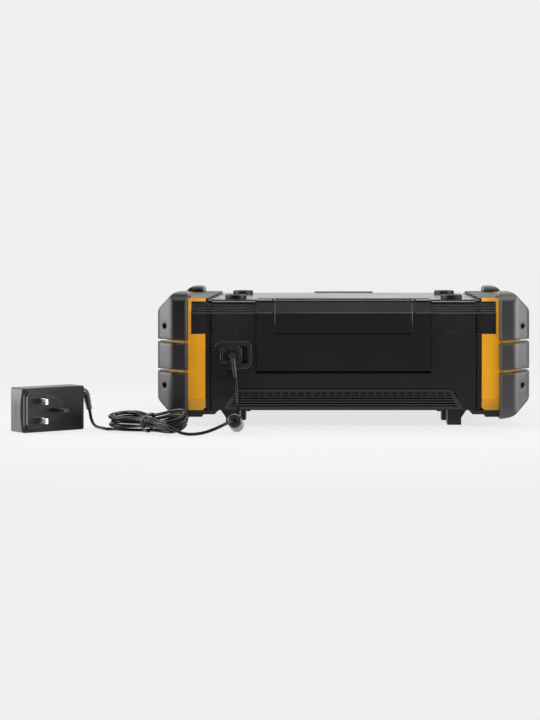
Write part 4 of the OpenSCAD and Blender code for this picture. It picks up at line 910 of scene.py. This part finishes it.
class RADIO_OT_edges(bpy.types.Operator):
    """Adds the edge beads of door and flap, the dark seams and the dark sheet behind the vent,
    both painted shade
    """

    bl_idname = "radio.edges"
    bl_label = "Edges and seams"

    def execute(self, context):
        black = context.scene.radio_settings.black
        # Edge beads: real rounded edges, drawn in a plastic 2.2 times lighter than the housing
        # black as a painted highlight along them
        rim = plastic("rounded rim painted highlight", shade(black, 2.2), 0.26, grain=1800.0, depth=0.00002,
                      edge=0.2, seed=91.0, specular=0.8)
        seam = plastic("shadow seam", (0.0008, 0.0008, 0.0008), 0.8, grain=900.0, edge=0.0,
                       dust=0.05, scuff=0.05, seed=92.0, specular=0.05)
        flap = [bead(0.6, (-FLAP_X, *FLAP_BEND), (FLAP_X, *FLAP_BEND)),
                bead(0.4, (-FLAP_X, *FLAP_FOOT), (FLAP_X, *FLAP_FOOT))]
        gap = [bead(0.45, (-FLAP_X, 155.1, 151.2), (FLAP_X, 155.1, 151.2))]
        door, seams = [], []
        for side in (-1, 1):
            flap.append(bead(0.5, (side * 80.9, 154.9, 150.2), (side * 80.9, 162.95, 134.6),
                             (side * 80.9, *FLAP_FOOT)))
            door.append(bead(0.55, (side * 101.8, 162.2, 134.5), (side * 85.3, 162.2, 134.5)))
            door.append(bead(0.5, (side * 102.4, 153.8, 150.2), (side * 102.4, 162.2, 134.5)))
            seams.append(bead(0.7, (side * 157.2, 158.7, 22.0), (side * 157.2, 158.7, 133.0)))
            seams.append(bead(0.5, (side * 143.9, 151.4, 20.2), (side * 135.4, 159.2, 33.4),
                              (side * 128.8, 159.3, 44.9)))
            seams.append(bead(0.45, (side * 156.0, 151.4, 149.7), (side * 104.4, 151.4, 149.7)))
        seams.append(bead(0.45, (-128.4, 159.4, 45.1), (128.4, 159.4, 45.1)))
        port = [ring(0.4, 108.9, 152.1, 160.2, 68.9, 101.1, 8.0),
                ring(0.35, 120.3, 145.4, 164.2, 75.9, 94.6, 3.0),
                ring(0.25, 122.6, 143.1, 164.3, 78.2, 92.3, 2.0)]
        for name, runs, material, body, slot in (
            ("flap_edges", flap, rim, "door_latch", "door_latch"),
            ("flap_gap", gap, seam, "door_latch", "door_latch"),
            ("door_edges", door, rim, "battery_door", "battery_door"),
            ("rear_seams", seams, seam, "radio_body", "lower_housing"),
            ("port_rims", port, rim, "radio_body", "dc_socket"),
        ):
            seat(swept(name, runs, 10, material), body)
        # Painted highlight: the sloping rims over door, flap and corner grilles are drawn four
        # times lighter than the housing black and very glossy, for the bright line along those
        # top edges
        gloss = plastic("lip painted highlight", shade(black, 4.0), 0.16, grain=1800.0, depth=0.00001,
                        edge=0.1, seed=94.0, specular=1.0)
        for name, spans, body, slot in (
            ("flap_lip", [(-83.4, 83.4, DOOR_LIP)], "door_latch", "door_latch"),
            ("door_lips", [(-102.4, -84.9, DOOR_LIP), (84.9, 102.4, DOOR_LIP)],
             "battery_door", "battery_door"),
            ("corner_lips", [(-156.0, -104.2, CORNER_LIP), (104.2, 156.0, CORNER_LIP)],
             "radio_body", "upper_housing"),
        ):
            seat(lips(name, spans, gloss), body)
        self.vent_dark_sheet()
        return {"FINISHED"}

    def vent_dark_sheet(self):
        """Near-black sheet behind the vent's slots that paints the shade there, gently waved
        between its rows.
        """
        columns, rows = 93, 9
        half_width, bottom, tall = 0.138, 0.0246, 0.021
        vertices, faces = [], []
        for face in (0.1454, 0.1450):
            for i in range(rows):
                across = math.sin(math.pi * i / (rows - 1))
                for k in range(columns):
                    x = -half_width + 2 * half_width * k / (columns - 1)
                    z = bottom + tall * i / (rows - 1)
                    slack = 0.0004 * math.sin(math.pi * i / (rows - 1) * 4) ** 2
                    slack += 0.0003 * math.sin(k * 1.3) * across
                    vertices.append((x, face - slack, z))
        count = rows * columns
        for i in range(rows - 1):
            for k in range(columns - 1):
                a = i * columns + k
                quad = (a, a + columns, a + columns + 1, a + 1)
                faces += [quad, tuple(count + corner for corner in (quad[0], *quad[:0:-1]))]
        rim = [*range(columns), *range(2 * columns - 1, count, columns),
               *range(count - 2, count - columns - 1, -1),
               *range(count - 2 * columns, 0, -columns)]
        for a, b in zip(rim, rim[1:] + rim[:1]):
            faces.append((a, b, b + count, a + count))
        # Painted shade: a near-black matte sheet behind the vent's slots, where there is only
        # shade
        shade_sheet = plastic("vent cloth", (0.0012, 0.0012, 0.0012), 0.9, grain=1600.0, depth=0.0001,
                        edge=0.0, dust=0.1, scuff=0.0, seed=93.0, specular=0.05)
        seat(mesh_object("vent_dark_sheet", vertices, faces, shade_sheet, smooth=True), "radio_body")


class RADIO_OT_port(bpy.types.Operator):
    """Dresses the power port and its cover"""

    bl_idname = "radio.port"
    bl_label = "Power port"

    def execute(self, context):
        paint(plastic("port bezel", (0.008, 0.008, 0.0085), 0.34, grain=1900.0, depth=0.00002,
                      edge=0.4, seed=61.0), "port_bezel")
        paint(plastic("socket block", (0.009, 0.009, 0.0095), 0.36, edge=0.6, seed=62.0),
              "dc_socket")
        paint(plastic("cover rubber", (0.0035, 0.0035, 0.0035), 0.6, grain=1500.0,
                      depth=0.00004, edge=0.3, seed=63.0, specular=0.15), "port_cover")
        return {"FINISHED"}


class RADIO_OT_front(bpy.types.Operator):
    """Dresses the controls, display and front speakers"""

    bl_idname = "radio.front"
    bl_label = "Front"

    def execute(self, context):
        paint(mesh_panel("front grille", (0.016, 0.016, 0.017), 0.38, 0.0012),
              "front_grille_left", "front_grille_right")
        paint(window_material("display window"), "display_window")
        paint(plastic("display cell", (0.12, 0.15, 0.16), 0.2, seed=71.0), "display_module")
        paint(plastic("knob rubber", (0.02, 0.02, 0.021), 0.48, grain=1800.0, edge=0.4,
                      seed=72.0), "volume_knob")
        paint(plastic("button rubber", (0.05, 0.05, 0.053), 0.5, grain=1700.0, edge=0.3,
                      seed=73.0), *SYMBOLS)
        paint(plastic("cone paper", (0.02, 0.02, 0.021), 0.6, grain=1200.0, depth=0.0001,
                      seed=74.0), "woofer_left", "woofer_right")
        paint(metal("encoder steel", (0.5, 0.5, 0.51), 0.35, seed=75.0), "encoder",
              "encoder_shaft")
        paint(board_material("control board"), "control_board")
        paint(board_material("main board"), "main_board")
        return {"FINISHED"}


# Faces of the knob and the fascia, and raised plain symbols as strokes from each button's
# middle, in millimetres
KNOB_FACE = -164.15
FASCIA_FACE = -153.5
SYMBOLS = {
    "button_power": (arc(3.0, 125, 415, 14), ((0.0, 1.2), (0.0, 3.8))),
    "button_source": (((-3.6, 1.4), (3.4, 1.4), (1.8, 3.0)),
                      ((3.6, -1.4), (-3.4, -1.4), (-1.8, -3.0))),
    "button_clock": (arc(3.3, 90, 450, 22), ((0.0, 2.1), (0.0, 0.0), (1.6, -1.0))),
    "button_up": (((-3.0, -1.4), (0.0, 1.8), (3.0, -1.4)),),
    "button_down": (((-3.0, 1.4), (0.0, -1.8), (3.0, 1.4)),),
    "button_memory": (((-3.4, 2.2), (3.4, 2.2)), ((-3.4, 0.0), (3.4, 0.0)),
                      ((-3.4, -2.2), (1.0, -2.2))),
}


class RADIO_OT_symbols(bpy.types.Operator):
    """Adds the buttons' raised symbols, the knob's pointer and the ticks round it"""

    bl_idname = "radio.symbols"
    bl_label = "Symbols and ticks"

    def front_middle(self, name):
        """Middle of a CAD node's front face, in millimetres."""
        low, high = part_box(name)
        middle = (low + high) / 2 * MM
        return middle[0], low[1] * MM, middle[2]

    def execute(self, context):
        pale = plastic("raised print", (0.34, 0.34, 0.33), 0.4, grain=2200.0, depth=0.00001,
                       edge=0.0, dust=0.05, scuff=0.3, pale=0.7, seed=95.0)
        for name, strokes in SYMBOLS.items():
            x0, front, z0 = self.front_middle(name)
            runs = [bead(0.32, *[(x0 + x, front, z0 + z) for x, z in stroke])
                    for stroke in strokes]
            seat(swept(name.replace("button", "symbol"), runs, 8, pale), name)
        x0, _, z0 = self.front_middle("volume_knob")
        pointer = bead(0.55, (x0, KNOB_FACE, z0 + 12.5), (x0, KNOB_FACE, z0 + 18.0))
        seat(swept("knob_pointer", [pointer], 10, pale), "volume_knob")
        ticks = []
        for k in range(11):
            inner, outer = (24.0, 26.6) if k % 5 == 0 else (24.4, 26.0)
            a = math.radians(90 + 135 - 27 * k)
            x, z = math.cos(a), math.sin(a)
            ticks.append(bead(0.3, (x0 + x * inner, FASCIA_FACE, z0 + z * inner),
                              (x0 + x * outer, FASCIA_FACE, z0 + z * outer)))
        seat(swept("volume_ticks", ticks, 8, pale), "radio_body")
        return {"FINISHED"}


class RADIO_OT_handle(bpy.types.Operator):
    """Dresses the carry handle"""

    bl_idname = "radio.handle"
    bl_label = "Carry handle"

    def execute(self, context):
        paint(plastic("handle plastic", (0.016, 0.016, 0.017), 0.44, edge=0.5, seed=81.0),
              "carry_handle")
        paint(plastic("grip rubber", (0.011, 0.011, 0.0115), 0.52, grain=1500.0, depth=0.0001,
                      edge=0.4, seed=82.0), "handle_grip")
        paint(metal("handle pins", (0.6, 0.6, 0.61), 0.3, seed=83.0), "handle_pins")
        return {"FINISHED"}


def area_light(name, place, size, power):
    """Box of soft light that looks at the radio."""
    data = bpy.data.lights.new(name, "AREA")
    data.shape = "RECTANGLE"
    data.size, data.size_y = size
    data.energy = power
    lamp = bpy.data.objects.new(name, data)
    lamp.location = place
    lamp.rotation_euler = (LIGHT_TARGET - Vector(place)).to_track_quat("-Z", "Y").to_euler()
    bpy.context.scene.collection.objects.link(lamp)
    return lamp


class RADIO_OT_stage(bpy.types.Operator):
    """Sets the floor, the lights and the background"""

    bl_idname = "radio.stage"
    bl_label = "Stage"

    def floor_material(self, ground, shadow, bounce):
        """Lit floor near the radio, which fades into the plain background."""
        material, g = new_material("studio floor")
        middle = g.add("Mapping", Vector=g.place(), Location=(-0.03, -0.05, 0.0))
        far = g.add("VectorMath", {"operation": "LENGTH"})
        g.put(far.inputs[0], middle)
        far = far.outputs["Value"]
        tone = use_group(g, "Tone", Scale=2.0)
        g.surface(Base_Color=g.blend(tone, grey(0.60), grey(0.62)), Roughness=0.7,
                  Specular_IOR_Level=0.1)
        seen = g.add("LightPath").outputs["Is Camera Ray"]
        near = g.span(far, 0.45, 1.1, bounce, bounce * 0.2)
        glow = g.add("Emission", Color=grey(ground), Strength=g.span(seen, 0.0, 1.0, near, 1.0))
        shown = g.math("MULTIPLY", g.span(far, 0.3, 0.75, 1.0 - shadow, 1.0), seen)
        share = g.math("MAXIMUM", shown, g.span(seen, 0.0, 1.0, 0.9, 0.0))
        g.mix_out("Material Output", share, g.tree.nodes["Principled BSDF"], glow)
        return material

    def room(self, given):
        """World: plain tone for the camera, dim before the radio and pale behind it."""
        world = bpy.data.worlds.new("studio")
        world.use_nodes = True
        g = Graph(world.node_tree)
        depth = g.span(g.axis(g.add("TexCoord").outputs["Generated"], 1), -0.25, 0.55)
        back = world.node_tree.nodes["Background"]
        g.put(back.inputs["Color"], g.blend(depth, grey(given.room_back), grey(given.room_front)))
        g.put(back.inputs["Strength"], 1.0)
        seen = g.add("LightPath").outputs["Is Camera Ray"]
        g.mix_out("World Output", seen, back, g.add("Background", Color=grey(given.ground)))
        return world

    def execute(self, context):
        given = context.scene.radio_stage
        scene = context.scene
        scene.view_settings.view_transform = "Standard"
        floor = mesh_object(
            "studio_floor",
            [(-4, -4, 0), (4, -4, 0), (4, 4, 0), (-4, 4, 0)], [(0, 1, 2, 3)],
            self.floor_material(given.ground, given.shadow, given.bounce))
        floor.location.z = -FLOOR_DROP
        lights = [
            area_light("side_box_right", (1.5, 0.3, 0.45), (1.3, 1.1), given.sides * 1.25),
            area_light("side_box_left", (-1.5, 0.6, 0.45), (1.3, 1.1), given.sides * 1.2),
            area_light("front_box", (-0.3, 1.4, 1.8), (1.6, 0.9), given.front),
            area_light("top_box", (0.0, -0.6, 1.6), (2.0, 1.0), given.top),
        ]
        scene.world = self.room(given)
        return {"FINISHED"}


class RADIO_PT_panel(bpy.types.Panel):
    """Buttons for the pieces and the stage"""

    bl_label = "Jobsite radio"
    bl_idname = "RADIO_PT_panel"
    bl_space_type = "VIEW_3D"
    bl_region_type = "UI"
    bl_category = "Radio"

    def draw(self, context):
        for name in SETTINGS:
            settings = getattr(context.scene, name)
            box = self.layout.box()
            for key in settings.__annotations__:
                box.prop(settings, key)
        for operator in OPERATORS:
            self.layout.operator(operator.bl_idname)


OPERATORS = (
    RADIO_OT_effects, RADIO_OT_camera, RADIO_OT_cord, RADIO_OT_adapter, RADIO_OT_shell,
    RADIO_OT_ends, RADIO_OT_rear, RADIO_OT_edges, RADIO_OT_port, RADIO_OT_front,
    RADIO_OT_symbols, RADIO_OT_handle, RADIO_OT_stage,
)
SETTINGS = {
    "radio_settings": RADIO_PG_settings, "radio_camera": RADIO_PG_camera,
    "radio_stage": RADIO_PG_stage,
}
CLASSES = (*SETTINGS.values(), *OPERATORS, RADIO_PT_panel)


def register():
    for item in CLASSES:
        bpy.utils.register_class(item)
    for name, group in SETTINGS.items():
        setattr(bpy.types.Scene, name, bpy.props.PointerProperty(type=group))


def unregister():
    for name in SETTINGS:
        delattr(bpy.types.Scene, name)
    for item in reversed(CLASSES):
        bpy.utils.unregister_class(item)


def main():
    register()
    bpy.ops.radio.effects()
    bpy.ops.radio.camera()
    bpy.ops.radio.cord()
    bpy.ops.radio.adapter()
    bpy.ops.radio.shell()
    bpy.ops.radio.ends()
    bpy.ops.radio.rear()
    bpy.ops.radio.edges()
    bpy.ops.radio.port()
    bpy.ops.radio.front()
    bpy.ops.radio.symbols()
    bpy.ops.radio.handle()
    bpy.ops.radio.stage()


if __name__ == "__main__":
    main()
